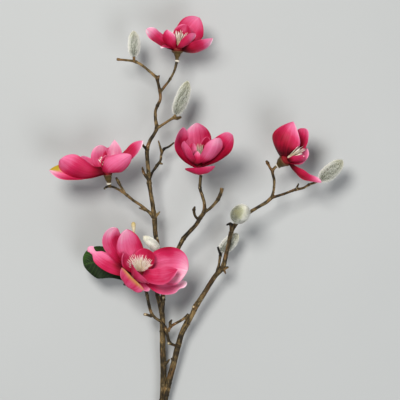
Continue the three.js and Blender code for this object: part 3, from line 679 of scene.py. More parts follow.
def arc(t: np.ndarray, start: np.ndarray, control: np.ndarray, end: np.ndarray) -> np.ndarray:
    """Points on the curve from start to end that control pulls to its side."""
    return (1 - t) ** 2 * start + 2 * t * (1 - t) * control + t * t * end


def there_and_back(front: np.ndarray, back: np.ndarray) -> np.ndarray:
    """Joins rows of corners on a front with the same rows on its back, which run the other way."""
    return np.concatenate([front, back[:, -2:0:-1]], axis=1)


@dataclass
class Skin:
    """The corners, faces and corner values of one piece while it is put together."""

    points: list[np.ndarray] = field(default_factory=list)
    faces: list[list[int]] = field(default_factory=list)
    values: dict[str, list[np.ndarray]] = field(default_factory=dict)
    size: int = 0

    def loft(self, rings: np.ndarray, **values: np.ndarray | float) -> None:
        """Adds a closed body through rings that turn against the clock about their path.

        Args:
            rings: Corners, as ring by corner by X, Y, Z.
            values: Corner values, each one number or an array that fits ring by corner.
        """
        count, ring = rings.shape[:2]
        ends = np.stack([rings[0].mean(0), rings[-1].mean(0)])
        corners = np.concatenate([rings.reshape(-1, 3), ends])
        first = (np.arange(count - 1) * ring)[:, None]
        here, after = np.arange(ring), (np.arange(ring) + 1) % ring
        above = first + ring
        quads = np.stack([first + here, first + after, above + after, above + here], -1)
        last = (count - 1) * ring
        start = np.stack([np.full(ring, count * ring), after, here], -1)
        end = np.stack([np.full(ring, count * ring + 1), last + here, last + after], -1)
        for block in (quads.reshape(-1, 4), start, end):
            self.faces.extend((block + self.size).tolist())
        self.points.append(corners)
        for name, given in values.items():
            full = np.broadcast_to(np.asarray(given, float), (count, ring))
            tips = [full[0].mean(), full[-1].mean()]
            self.values.setdefault(name, []).append(np.concatenate([full.ravel(), tips]))
        self.size += len(corners)

    def piece(self, name: str, material: bpy.types.Material) -> bpy.types.Object:
        """Makes the mesh object, in metres and shifted to the branch's own origin.

        Args:
            name: The piece's name.
            material: Its finish.

        Returns:
            The object, linked to the scene.
        """
        places = (np.concatenate(self.points) + SHEET_SHIFT) * MILLIMETRE
        values = {key: np.concatenate(parts) for key, parts in self.values.items()}
        return make_piece(name, places, self.faces, values, material)


def make_piece(name: str, places: np.ndarray, faces: list[list[int]],
               values: Mapping[str, np.ndarray], material: bpy.types.Material) -> bpy.types.Object:
    """Makes a smooth-shaded object from corners and faces.

    Args:
        name: The piece's name.
        places: Corners in metres.
        faces: Corner numbers of each face.
        values: Numbers or places to keep at each corner.
        material: Its finish.

    Returns:
        The object, linked to the scene.
    """
    mesh = bpy.data.meshes.new(name)
    mesh.from_pydata(places.tolist(), [], faces)
    mesh.validate()
    mesh.shade_smooth()
    for key, numbers in values.items():
        kind, prop = ("FLOAT", "value") if numbers.ndim == 1 else ("FLOAT_VECTOR", "vector")
        kept = mesh.attributes.new(key, kind, "POINT")
        kept.data.foreach_set(prop, numbers.astype(np.float32).ravel())
    mesh.materials.append(material)
    made = bpy.data.objects.new(name, mesh)
    bpy.context.scene.collection.objects.link(made)
    return made


def dress(piece: bpy.types.Object, node: str) -> None:
    """Lets a piece ride on the branch in place of a plain solid.

    Args:
        piece: The piece.
        node: The solid that it stands for.
    """
    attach(piece, "root")
    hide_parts(node)


@dataclass
class Path:
    """A smooth curve through rows of x, y, z and radius, with a frame at each step."""

    centres: np.ndarray
    radii: np.ndarray
    along: np.ndarray
    tangents: np.ndarray
    normals: np.ndarray
    sides: np.ndarray

    @classmethod
    def through(cls, rows: Sequence[Sequence[float]], step: float) -> Path:
        """Follows the rows.

        Args:
            rows: Each x, y, z and radius.
            step: The greatest distance between two samples.

        Returns:
            The path.
        """
        table = np.array(rows, float)
        points = np.vstack([2 * table[0] - table[1], table, 2 * table[-1] - table[-2]])
        knots = np.sqrt(np.linalg.norm(np.diff(points[:, :3], axis=0), axis=1))
        knots = np.concatenate([[0.0], np.cumsum(knots)])
        samples = []
        for i in range(1, len(points) - 2):
            gap = np.linalg.norm(points[i + 1, :3] - points[i, :3])
            count = max(2, math.ceil(gap / step))
            share = np.arange(count) / count
            samples.append(cls._span(points[i - 1:i + 3], knots[i - 1:i + 3], share))
        samples.append(points[-2:-1])
        joined = np.vstack(samples)
        return cls.framed(joined[:, :3], joined[:, 3])

    @staticmethod
    def _span(points: np.ndarray, knots: np.ndarray, share: np.ndarray) -> np.ndarray:
        """Samples the middle span of four rows, with the radius eased between its ends.

        Args:
            points: The four rows.
            knots: Where along the curve each row lies.
            share: The shares of the span at which to sample it.

        Returns:
            A row for each share.
        """
        t = (knots[1] + (knots[2] - knots[1]) * share)[:, None]
        place = points[:, :3]

        def between(a: np.ndarray, b: np.ndarray, i: int, j: int) -> np.ndarray:
            """Mixes a and b by where t lies between two knots."""
            return (a * (knots[j] - t) + b * (t - knots[i])) / (knots[j] - knots[i])

        low, mid, high = (between(place[i], place[i + 1], i, i + 1) for i in range(3))
        centre = between(between(low, mid, 0, 2), between(mid, high, 1, 3), 1, 2)
        ease = smooth(share, 0.0, 1.0)
        radius = points[1, 3] + (points[2, 3] - points[1, 3]) * ease
        return np.column_stack([centre, radius])

    @classmethod
    def framed(cls, centres: np.ndarray, radii: np.ndarray) -> Path:
        """Adds lengths and frames that turn as little as possible.

        Args:
            centres: The samples' places.
            radii: Their radii.

        Returns:
            The path.
        """
        tangents = unit(np.gradient(centres, axis=0))
        steps = np.linalg.norm(np.diff(centres, axis=0), axis=1)
        normals = np.empty_like(centres)
        normal = np.array([0.1, 0.2, 1.0])
        for i, tangent in enumerate(tangents):
            normal = unit(normal - tangent * normal.dot(tangent))
            normals[i] = normal
        along = np.concatenate([[0.0], np.cumsum(steps)])
        return cls(centres, radii, along, tangents, normals, np.cross(tangents, normals))

    def outward(self, corners: int) -> np.ndarray:
        """The directions from each sample to its ring's corners, which turn against the clock."""
        turn = full_turn(corners)[:, None]
        return self.normals[:, None] * np.cos(turn) + self.sides[:, None] * np.sin(turn)

    def rings(self, corners: int, swell: np.ndarray | float = 1.0) -> np.ndarray:
        """Places a ring of corners round each sample.

        Args:
            corners: Corners in a ring.
            swell: Factors on the radius, as one number or ring by corner.

        Returns:
            The rings, as ring by corner by X, Y, Z.
        """
        out = self.outward(corners)
        radius = np.broadcast_to(self.radii[:, None] * swell, out.shape[:2])
        return self.centres[:, None] + out * radius[..., None]


def end_direction(rows: Sequence[Sequence[float]]) -> np.ndarray:
    """The direction in which the curve through rows ends."""
    return Path.through(rows, 0.5).tangents[-1]


def carry_on(rows: Sequence[Sequence[float]], radius: float, straight: float = 1.2) -> list[Row]:
    """Two rows that go straight on from the end of other rows.

    Args:
        rows: The rows that end.
        radius: The new rows' radius.
        straight: The distance between the new rows.

    Returns:
        The two rows.
    """
    end = np.array(rows[-1][:3], float)
    direction = end_direction(rows)
    return [(*(end + direction * step), radius) for step in (PIECE_GAP, PIECE_GAP + straight)]


@dataclass(frozen=True)
class Blade:
    """A thin sheet on a curved midrib.

    t is the share of the length at each row and w the share of the half width at each column, from
    the left rim, -1, to the right one, 1. rib, inward and side are the midrib's places, the
    directions out of its inner side and those to its right.
    """

    t: np.ndarray
    w: np.ndarray
    rib: np.ndarray
    inward: np.ndarray
    side: np.ndarray

    # Where along the midrib, a little past its tip, the two rims meet.
    MEETING = 1.02
    # Where the thickness would come to nothing, just past the rims' meeting.
    CLOSING = 1.021
    # The share of its cup that the cross-section loses at the tip.
    OPENING = 0.45

    @classmethod
    def between(cls, root: np.ndarray, mid: np.ndarray, tip: np.ndarray, face: Vec,
                grid: tuple[int, int], crowding: float) -> Blade:
        """Lays out the grid of a blade.

        Args:
            root: Where the midrib starts.
            mid: Where its middle is.
            tip: Where it ends.
            face: The direction out of its inner side.
            grid: Its rows and columns.
            crowding: How much closer the rows get towards the tip.

        Returns:
            The blade.
        """
        rows, columns = grid
        control = 2 * mid - (root + tip) / 2
        share = (cls.MEETING - 1e-4) * (1 - (1 - np.linspace(0, 1, rows)) ** crowding)
        t = share[:, None]
        tangent = unit(2 * (1 - t) * (control - root) + 2 * t * (tip - control))
        facing = unit(np.array(face, float))
        inward = unit(facing - tangent * (tangent @ facing)[:, None])
        w = np.sin(np.linspace(-1, 1, columns) * math.pi / 2)[None]
        return cls(t, w, arc(t, root, control, tip), inward, np.cross(tangent, inward))

    def bend(self, cup: float) -> np.ndarray:
        """The half angle of each row's cross-section, for a cup in degrees at the base."""
        return np.radians(cup) * (1 - self.OPENING * self.t)

    def sheet(self, half: np.ndarray, bend: np.ndarray, lift: np.ndarray) -> np.ndarray:
        """Places the middle surface, from half its width, its bend and its lift off the midrib."""
        out = (half * np.sin(self.w * bend) / bend)[..., None]
        return self.rib[:, None] + self.side[:, None] * out + self.inward[:, None] * lift[..., None]

    def thickness(self, middle: float, squareness: int) -> np.ndarray:
        """How thick the blade is: even in the middle and thin at the rims and the tip."""
        rims = np.sqrt(np.maximum(1 - self.w ** squareness, 0))
        return middle * rims * np.sqrt(1 - (self.t / self.CLOSING) ** 16)


# ------------------------------------------------------------------ wood
@dataclass
class Wood:
    """Trunk, stems and twigs, grown together, with wrinkles, leaf-scar rings and a slanted cut."""

    voxel: float = 0.55
    step: float = 1.2
    stem_corners: int = 20
    heel_cut: float = math.radians(32)
    heel_radius: float = 5.6
    cut_depth: float = 0.35
    growth: float = 0.24
    scar_width: float = 1.0
    scar_height: float = 0.42
    wrinkle: float = 0.24
    dome: tuple[tuple[float, float], ...] = ((0.3, 0.94), (0.55, 0.74), (0.7, 0.4))
    # Painted glints: places where the bark is painted pale, as if light glinted there.
    painted_glints: tuple[Vec, ...] = (
        (-53, 202.5, 30), (-46, 127.5, 24), (27.4, 266, 48), (-68.5, 107, 35), (-8.5, 116.5, 29),
        (-39.5, 70.5, 28.2))
    painted_glint_radius: float = 1.8

    def tables(self) -> dict[str, list[Row]]:
        """The rows of every stem and twig."""
        return {stem.value: table for stem, table in STEMS.items()} | TWIGS

    def paths(self) -> dict[str, Path]:
        """Follows every stem and twig.

        Returns:
            The paths by name, with a dome on each end that carries nothing.
        """
        made = {}
        for name, table in self.tables().items():
            direction, radius = end_direction(table), table[-1][3]
            ends = [(*(np.array(table[-1][:3]) + direction * radius * step), radius * share)
                    for step, share in self.dome]
            if name == "cut_twig" or name.endswith(("_stalk", "_seat")):
                ends = []
            made[name] = Path.through([*table, *ends], self.step)
        return made

    def cut_plane(self) -> tuple[np.ndarray, np.ndarray]:
        """A point on the heel's cut and the direction into the wood."""
        heel = np.array(STEMS[Stem.TRUNK][0][:3], float) + [0, self.heel_radius, 0]
        return heel, np.array([0.0, math.cos(self.heel_cut), -math.sin(self.heel_cut)])

    def fused(self, paths: Mapping[str, Path]) -> bpy.types.Mesh:
        """Fuses all paths' tubes.

        Args:
            paths: The paths by name.

        Returns:
            One mesh of small even faces.
        """
        skin = Skin()
        heel, inwards = self.cut_plane()
        for name, path in paths.items():
            rings = path.rings(self.stem_corners, 1 + self.growth / path.radii[:, None])
            if name == Stem.TRUNK.value:
                depth = np.minimum((rings - heel) @ inwards, 0.0)
                slide = depth / (path.tangents @ inwards)[:, None]
                rings = rings - path.tangents[:, None] * slide[..., None]
            skin.loft(rings)
        rough = skin.piece("rough_wood", bpy.data.materials.new("rough"))
        fuse = rough.modifiers.new("fuse", "REMESH")
        fuse.mode = "VOXEL"
        fuse.voxel_size = self.voxel * MILLIMETRE
        soften = rough.modifiers.new("soften", "SMOOTH")
        soften.factor, soften.iterations = 0.5, 3
        graph = bpy.context.evaluated_depsgraph_get()
        fused = bpy.data.meshes.new_from_object(rough.evaluated_get(graph))
        bpy.data.objects.remove(rough)
        return fused

    def scars(self) -> dict[str, np.ndarray]:
        """Finds the leaf scars, at the rows that are thicker than their neighbours.

        Returns:
            How far along each stem its scars lie.
        """
        found = {}
        for name, table in self.tables().items():
            places = np.array(table, float)
            steps = np.linalg.norm(np.diff(places[:, :3], axis=0), axis=1)
            lengths = np.concatenate([[0], np.cumsum(steps)])
            thick = [k for k in range(1, len(table) - 1)
                     if table[k][3] >= table[k - 1][3] and table[k][3] >= table[k + 1][3]]
            found[name] = lengths[thick]
        return found

    def weathered(self, paths: Mapping[str, Path],
                  places: np.ndarray) -> tuple[np.ndarray, dict[str, np.ndarray]]:
        """Wrinkles the fused wood and marks its grain, scars, dark stems, painted glints and cut.

        Args:
            paths: The paths by name.
            places: The fused mesh's corners, in millimetres on the sheet.

        Returns:
            The moved corners, and the values to keep at each.
        """
        names = list(paths)
        samples = [(name, i) for name in names for i in range(len(paths[name].centres))]
        tree = kdtree.KDTree(len(samples))
        for number, (name, i) in enumerate(samples):
            tree.insert(paths[name].centres[i], number)
        tree.balance()
        scars = self.scars()
        heel, inwards = self.cut_plane()
        grain = np.empty_like(places)
        scar, dark, cut, speck = (np.zeros(len(places)) for _ in range(4))
        moved = places.copy()
        for k, place in enumerate(places):
            name, i = samples[tree.find(place)[1]]
            path = paths[name]
            offset = place - path.centres[i]
            along = path.along[i] + offset.dot(path.tangents[i])
            across, over = offset.dot(path.sides[i]), offset.dot(path.normals[i])
            grain[k] = (across + 7.0 * names.index(name), over, along)
            if len(scars[name]):
                gap = np.abs(scars[name] - along).min() / self.scar_width
                scar[k] = math.exp(-gap * gap)
            dark[k] = DARK_STEMS.get(name, 0.0)
            # Painted glints: paler near each given place.
            nearest = min(math.dist(place, spot) for spot in self.painted_glints)
            speck[k] = 1.0 - min(1.0, (nearest / self.painted_glint_radius) ** 3)
            if name == Stem.TRUNK.value and (place - heel).dot(inwards) < self.cut_depth:
                cut[k] = 1.0
                continue
            out = path.normals[i] * over + path.sides[i] * across
            out /= max(np.linalg.norm(out), 1e-6)
            wrinkles = noise.noise(Vector((grain[k, 0] * 0.9, over * 0.9, along * 0.14)))
            lumps = noise.noise(Vector((grain[k, 0] * 0.35, over * 0.35, along * 0.3)))
            height = self.wrinkle * (wrinkles + 0.7 * lumps) + self.scar_height * scar[k]
            moved[k] += out * height
        moved[:, 2] = np.maximum(moved[:, 2], 0.0)
        return moved, {"grain": grain, "scar": scar, "dark": dark, "cut": cut, "speck": speck}

    def build(self) -> bpy.types.Object:
        """Makes the wood and rests it on the table.

        Returns:
            The piece.
        """
        paths = self.paths()
        fused = self.fused(paths)
        places = np.empty(len(fused.vertices) * 3)
        fused.vertices.foreach_get("co", places)
        faces = [list(face.vertices) for face in fused.polygons]
        places = places.reshape(-1, 3) / MILLIMETRE - SHEET_SHIFT
        moved, values = self.weathered(paths, places)
        bark = BarkFinish().material()
        piece = make_piece("bark", (moved + SHEET_SHIFT) * MILLIMETRE, faces, values, bark)
        bpy.data.meshes.remove(fused)
        dress(piece, "wood")
        return piece


# ------------------------------------------------------------------ blooms
@dataclass(frozen=True)
class Tepal:
    """One tepal: where its midrib goes, its width and hollow, and how pale it is where.

    mid and tip are measured from the receptacle's top. face points out of the inner side, cup is
    the half angle in degrees that the cross-section bends through at the base, broad is where along
    it the tepal is widest, claw its share of the width at the base, flare how late it widens and
    point how sharply it ends. right and left widen one side, as seen from the inner side with the
    tip up. flick bends the tip back, ruffle waves the rims, curl rolls them back, and spoon is half
    the width of a tip that widens again. tone shifts the whole colour, and is lowered as painted
    shade on tepals that lie in shade. pale_tip makes the tip paler. pale_rim makes both rims paler
    as a painted highlight along the edges, and darker as painted shade where it is below 0. lean
    makes the right side paler, partly the tepal's own colour and partly painted light. base makes
    the base darker, partly the tepal's own deeper colour and partly painted shade in the cup. glow
    adds painted highlights and painted shade in patches, each with its place along and across and
    how much paler it is. olive tints a band: where along it starts, its rim, or 0 for the whole
    tip, and its strength.
    """

    mid: Vec
    tip: Vec
    width: float
    face: Vec
    cup: float
    broad: float = 0.62
    point: float = 0.5
    claw: float = 0.5
    flare: float = 1.3
    right: float = 1.0
    left: float = 1.0
    flick: float = 0.0
    tone: float = 0.0
    pale_tip: float = 0.3
    pale_rim: float = 0.15
    lean: float = 0.0
    base: float = 0.3
    ruffle: float = 0.7
    curl: float = 0.6
    spoon: float = 0.0
    olive: Vec | None = None
    glow: tuple[Vec, ...] = ()

    GRID = (46, 27)
    CROWDING = 1.5
    HALF_THICKNESS = 0.3
    UNEVENNESS = 0.018
    RIBS = 7
    RIB_HEIGHT = 0.16
    GROOVE_DEPTH = 0.35
    GROOVE_WIDTH = 0.12
    NECK = 0.87
    NECK_LENGTH = 0.06
    SPOON_START = 0.97
    MIDDLE_TONE = 0.42
    GLOW_LENGTH = 0.16
    GLOW_WIDTH = 0.38

    def half_width(self, s: np.ndarray) -> np.ndarray:
        """Half the width along the tepal.

        Args:
            s: Shares of the length.

        Returns:
            The half width at each share.
        """
        rise = np.sin(np.minimum(s / self.broad, 1) * math.pi / 2) ** self.flare
        swell = self.claw + (1 - self.claw) * rise
        past = np.maximum(0, (s - self.broad) / (Blade.MEETING - self.broad))
        half = 0.5 * self.width * swell * np.maximum(1 - past * past, 0) ** self.point
        if self.spoon:
            necked = half * (1 - 0.5 * np.exp(-((s - self.NECK) / self.NECK_LENGTH) ** 2))
            end = np.sqrt(np.clip((Blade.MEETING - s) / 0.05, 0, 1))
            half = np.maximum(necked, self.spoon * smooth(s, self.NECK, self.SPOON_START) * end)
        return half

    def add_to(self, skin: Skin, root: np.ndarray, top: np.ndarray, number: int) -> None:
        """Adds this tepal to a bloom's skin.

        Args:
            skin: The bloom's skin.
            root: Where the midrib starts.
            top: The receptacle's top.
            number: The tepal's number, which varies its waves.
        """
        mid, tip = top + np.array(self.mid, float), top + np.array(self.tip, float)
        blade = Blade.between(root, mid, tip, self.face, self.GRID, self.CROWDING)
        t, w = blade.t, blade.w
        half = self.half_width(t) * np.where(w > 0, self.right, self.left)
        half = half * (1 + self.UNEVENNESS * np.sin(9 * t + number + (w > 0) * 2.1))
        bend = blade.bend(self.cup)
        grown = smooth(t, 0.15, 0.7)
        flick = self.flick * (np.maximum(0, t - 0.75) / 0.25) ** 2
        wave = self.ruffle * np.abs(w) ** 3 * np.sin(11 * t + 1.9 * number + (w > 0) * 1.6) * grown
        rolled = self.curl * smooth(np.abs(w), 0.8, 1.0) * grown
        ribs = np.cos(self.RIBS * math.pi * w / 2) * np.sin(math.pi * np.minimum(t, 1)) ** 0.5
        groove = np.exp(-(w / self.GROOVE_WIDTH) ** 2) * (1 - smooth(t, 0.5, 1.0))
        lift = (half * (1 - np.cos(w * bend)) / bend - flick + wave - rolled
                + self.RIB_HEIGHT * ribs - self.GROOVE_DEPTH * groove)
        sheet = blade.sheet(half, bend, lift)
        normal = (blade.inward[:, None] * np.cos(w * bend)[..., None]
                  - blade.side[:, None] * np.sin(w * bend)[..., None])
        skirt = normal * blade.thickness(self.HALF_THICKNESS, 8)[..., None]
        both = there_and_back(w, w)
        skin.loft(there_and_back(sheet + skirt, sheet - skirt), along=t, across=both,
                  seed=number * 3.7, pale=self._paleness(t, both), olive=self._olive(t, both))

    def _paleness(self, t: np.ndarray, w: np.ndarray) -> np.ndarray:
        """How pale the tepal is, with its painted light and shade.

        Args:
            t: Shares of the length.
            w: Shares of the half width.

        Returns:
            The paleness at each corner, from 0 to 1.
        """
        # tone shifts the whole tepal and is lowered as painted shade on tepals that lie in shade;
        # the tip is paler by pale_tip.
        pale = self.MIDDLE_TONE + self.tone + self.pale_tip * smooth(t, 0.5, 1.02) ** 1.4
        # Painted light and shade along both rims: paler where pale_rim is above 0, darker where it
        # is below.
        pale = pale + self.pale_rim * np.abs(w) ** 5 * smooth(t, 0.2, 0.6)
        # The right side paler: partly the tepal's own colour, partly painted light.
        pale = pale + self.lean * w * smooth(t, 0.1, 0.6)
        # The base darker: partly the tepal's own deeper colour, partly painted shade in the cup.
        pale = pale - self.base * (1 - smooth(t, 0.0, 0.5))
        # Painted highlights and painted shade in soft patches: paler where the amount is above 0,
        # darker where it is below.
        for along, across, amount in self.glow:
            near = ((t - along) / self.GLOW_LENGTH) ** 2 + ((w - across) / self.GLOW_WIDTH) ** 2
            pale = pale + amount * np.exp(-near)
        return np.clip(pale, 0.0, 1.0)

    def _olive(self, t: np.ndarray, w: np.ndarray) -> np.ndarray:
        """How olive the tepal is.

        Args:
            t: Shares of the length.
            w: Shares of the half width.

        Returns:
            The strength of the olive at each corner.
        """
        if self.olive is None:
            return np.zeros((len(t), w.size))
        start, rim, amount = self.olive
        band = smooth(w * math.copysign(1, rim), abs(rim) - 0.25, abs(rim) + 0.1) if rim else 1.0
        return amount * band * smooth(t, start - 0.1, start + 0.1)


@dataclass(frozen=True)
class Brush:
    """A bloom's stamens round their core.

    axis is where it points, spread the half angle in degrees that the count filaments fan out to,
    core the greatest radius of the core, and shade how brown it all is.
    """

    axis: Vec
    length: float
    spread: float
    count: int
    core: float
    shade: float = 0.0

    RADIUS = 0.26
    CORNERS = 6
    SAMPLES = 9
    SWELL_AT = (0, 0.5, 0.7, 0.92, 1)
    SWELL = (1.0, 0.95, 1.2, 1.1, 0.25)
    CORE_CORNERS = 24
    # The core's heights and radii in millimetres, then as shares of the length and of core, and
    # its tip as a share of the length with a radius in millimetres.
    CORE_FOOT = ((0.2, 1.6), (3, 2.4))
    CORE_TOP = ((0.5, 1), (0.68, 0.7))
    CORE_TIP = (0.78, 0.3)

    def add_to(self, skin: Skin, foot: np.ndarray) -> None:
        """Adds the core and the curved filaments.

        Args:
            skin: The skin to add to.
            foot: Where the brush stands.
        """
        forward = unit(np.array(self.axis, float))
        side = unit(np.cross(forward, [0.0, 0.0, 1.0]))
        up = np.cross(side, forward)
        top = [(at * self.length, self.core * share) for at, share in self.CORE_TOP]
        steps = [*self.CORE_FOOT, *top, (self.CORE_TIP[0] * self.length, self.CORE_TIP[1])]
        core = Path.through([(*(foot + forward * step), radius) for step, radius in steps], 0.8)
        turn, along = full_turn(self.CORE_CORNERS)[None], core.along[:, None]
        bumps = 1 + 0.09 * np.sin(8 * turn + 1.1 * along) * np.sin(2.2 * along)
        skin.loft(core.rings(self.CORE_CORNERS, bumps), along=0.5, seed=0.5,
                  core=0.3 + 0.7 * self.shade)
        t = np.linspace(0, 1, self.SAMPLES)[:, None]
        radii = self.RADIUS * np.interp(t[:, 0], self.SWELL_AT, self.SWELL)
        for i in range(self.count):
            share = (i + 0.5) / self.count
            polar = math.radians(self.spread) * math.sqrt(share)
            around = i * GOLDEN_ANGLE
            out = side * math.cos(around) + up * math.sin(around)
            direction = forward * math.cos(polar) + out * math.sin(polar)
            reach = self.length * (0.86 + 0.14 * math.cos(5 * i))
            root = foot + forward * (1.0 + 3.0 * (1 - share)) + out * 1.4 * math.sqrt(share)
            tip = foot + direction * reach
            bow = out * reach * 0.09 * math.sin(polar * 2)
            belly = (root + tip) / 2 + bow + forward * 0.05 * reach
            filament = Path.framed(arc(t, root, belly, tip), radii)
            skin.loft(filament.rings(self.CORNERS), along=t, seed=(0.61 * i) % 1, core=self.shade)


@dataclass
class Bloom:
    """One bloom: receptacle, tepals and stamens, at the end of its stalk."""

    name: str
    stalk: str
    receptacle: list[Row]
    tepals: list[Tepal]
    brush: Brush
    dome_olive: float = 0.04

    CORNERS = 36
    DOME_CORNERS = 28
    DOME_TONE = 0.1
    # How far out on the dome the tepals start, as a share of its radius.
    ROOT_RING = 0.55

    def receptacle_rows(self) -> list[Row]:
        """Rows from the stalk's end to the receptacle's top."""
        stalk = TWIGS[self.stalk]
        return [*carry_on(stalk, stalk[-1][3] + FOOT_LIP), *self.receptacle]

    def dome_rows(self) -> list[Row]:
        """Lays out the small dome that the tepals spring from.

        Returns:
            Its rows.
        """
        rows = self.receptacle_rows()
        direction, radius = end_direction(rows), rows[-1][3]
        first, second = carry_on(rows, radius * 0.8, 2.5)
        crown = np.array(second[:3]) + direction * 2
        return [first, second, (*crown, radius * 0.45)]

    def build(self, finishes: Finishes) -> list[bpy.types.Object]:
        """Makes the bloom's three pieces.

        Args:
            finishes: The materials by slot.

        Returns:
            The pieces.
        """
        rows = self.receptacle_rows()
        dome_rows = self.dome_rows()
        return [
            self._receptacle(rows, finishes[Slot.RECEPTACLE]),
            self._tepals(rows, dome_rows, finishes[Slot.TEPAL]),
            self._stamens(dome_rows, finishes[Slot.STAMEN]),
        ]

    def _receptacle(self, rows: Sequence[Row], material: bpy.types.Material) -> bpy.types.Object:
        """Makes the receptacle, with soft ridges and a collar at its foot.

        Args:
            rows: The receptacle's rows.
            material: Its finish.

        Returns:
            The piece.
        """
        path = Path.through(rows, 0.35)
        share = (path.along / path.along[-1])[:, None]
        ridges = np.sin(6 * full_turn(self.CORNERS) + 5 * share) * smooth(share, 0.1, 0.6)
        collar = 1 + 0.45 * (1 - smooth(share, 0.1, 0.2))
        skin = Skin()
        skin.loft(path.rings(self.CORNERS, (1 + 0.03 * ridges) * collar), along=share)
        piece = skin.piece(f"{self.name}_receptacle_piece", material)
        dress(piece, f"{self.name}_receptacle")
        return piece

    def _tepals(self, rows: Sequence[Row], dome_rows: Sequence[Row],
                material: bpy.types.Material) -> bpy.types.Object:
        """Makes the tepals on their dome, and keeps them above the table.

        Args:
            rows: The receptacle's rows.
            dome_rows: The dome's rows.
            material: The tepals' finish.

        Returns:
            The piece.
        """
        skin = Skin()
        dome = Path.through(dome_rows, 0.5)
        skin.loft(dome.rings(self.DOME_CORNERS), along=0.0, across=0.0, seed=0.0,
                  pale=self.DOME_TONE, olive=self.dome_olive)
        direction = end_direction(dome_rows)
        top = np.array(rows[-1][:3], float)
        middle = np.array(dome_rows[1][:3]) - direction
        for number, tepal in enumerate(self.tepals, 1):
            outward = np.array(tepal.mid, float)
            outward = unit(outward - direction * outward.dot(direction))
            root = middle + outward * self.ROOT_RING * dome_rows[1][3]
            tepal.add_to(skin, root, top, number)
        piece = skin.piece(f"{self.name}_petals", material)
        places = np.empty(len(piece.data.vertices) * 3)
        piece.data.vertices.foreach_get("co", places)
        places[2::3] = np.maximum(places[2::3], 0.0)
        piece.data.vertices.foreach_set("co", places)
        dress(piece, f"{self.name}_tepals")
        return piece

    def _stamens(self, dome_rows: Sequence[Row], material: bpy.types.Material) -> bpy.types.Object:
        """Makes the brush of stamens.

        Args:
            dome_rows: The dome's rows.
            material: The stamens' finish.

        Returns:
            The piece.
        """
        skin = Skin()
        foot = np.array(dome_rows[-1][:3]) + end_direction(dome_rows) * PIECE_GAP
        self.brush.add_to(skin, foot)
        piece = skin.piece(f"{self.name}_brush", material)
        dress(piece, f"{self.name}_stamens")
        return piece


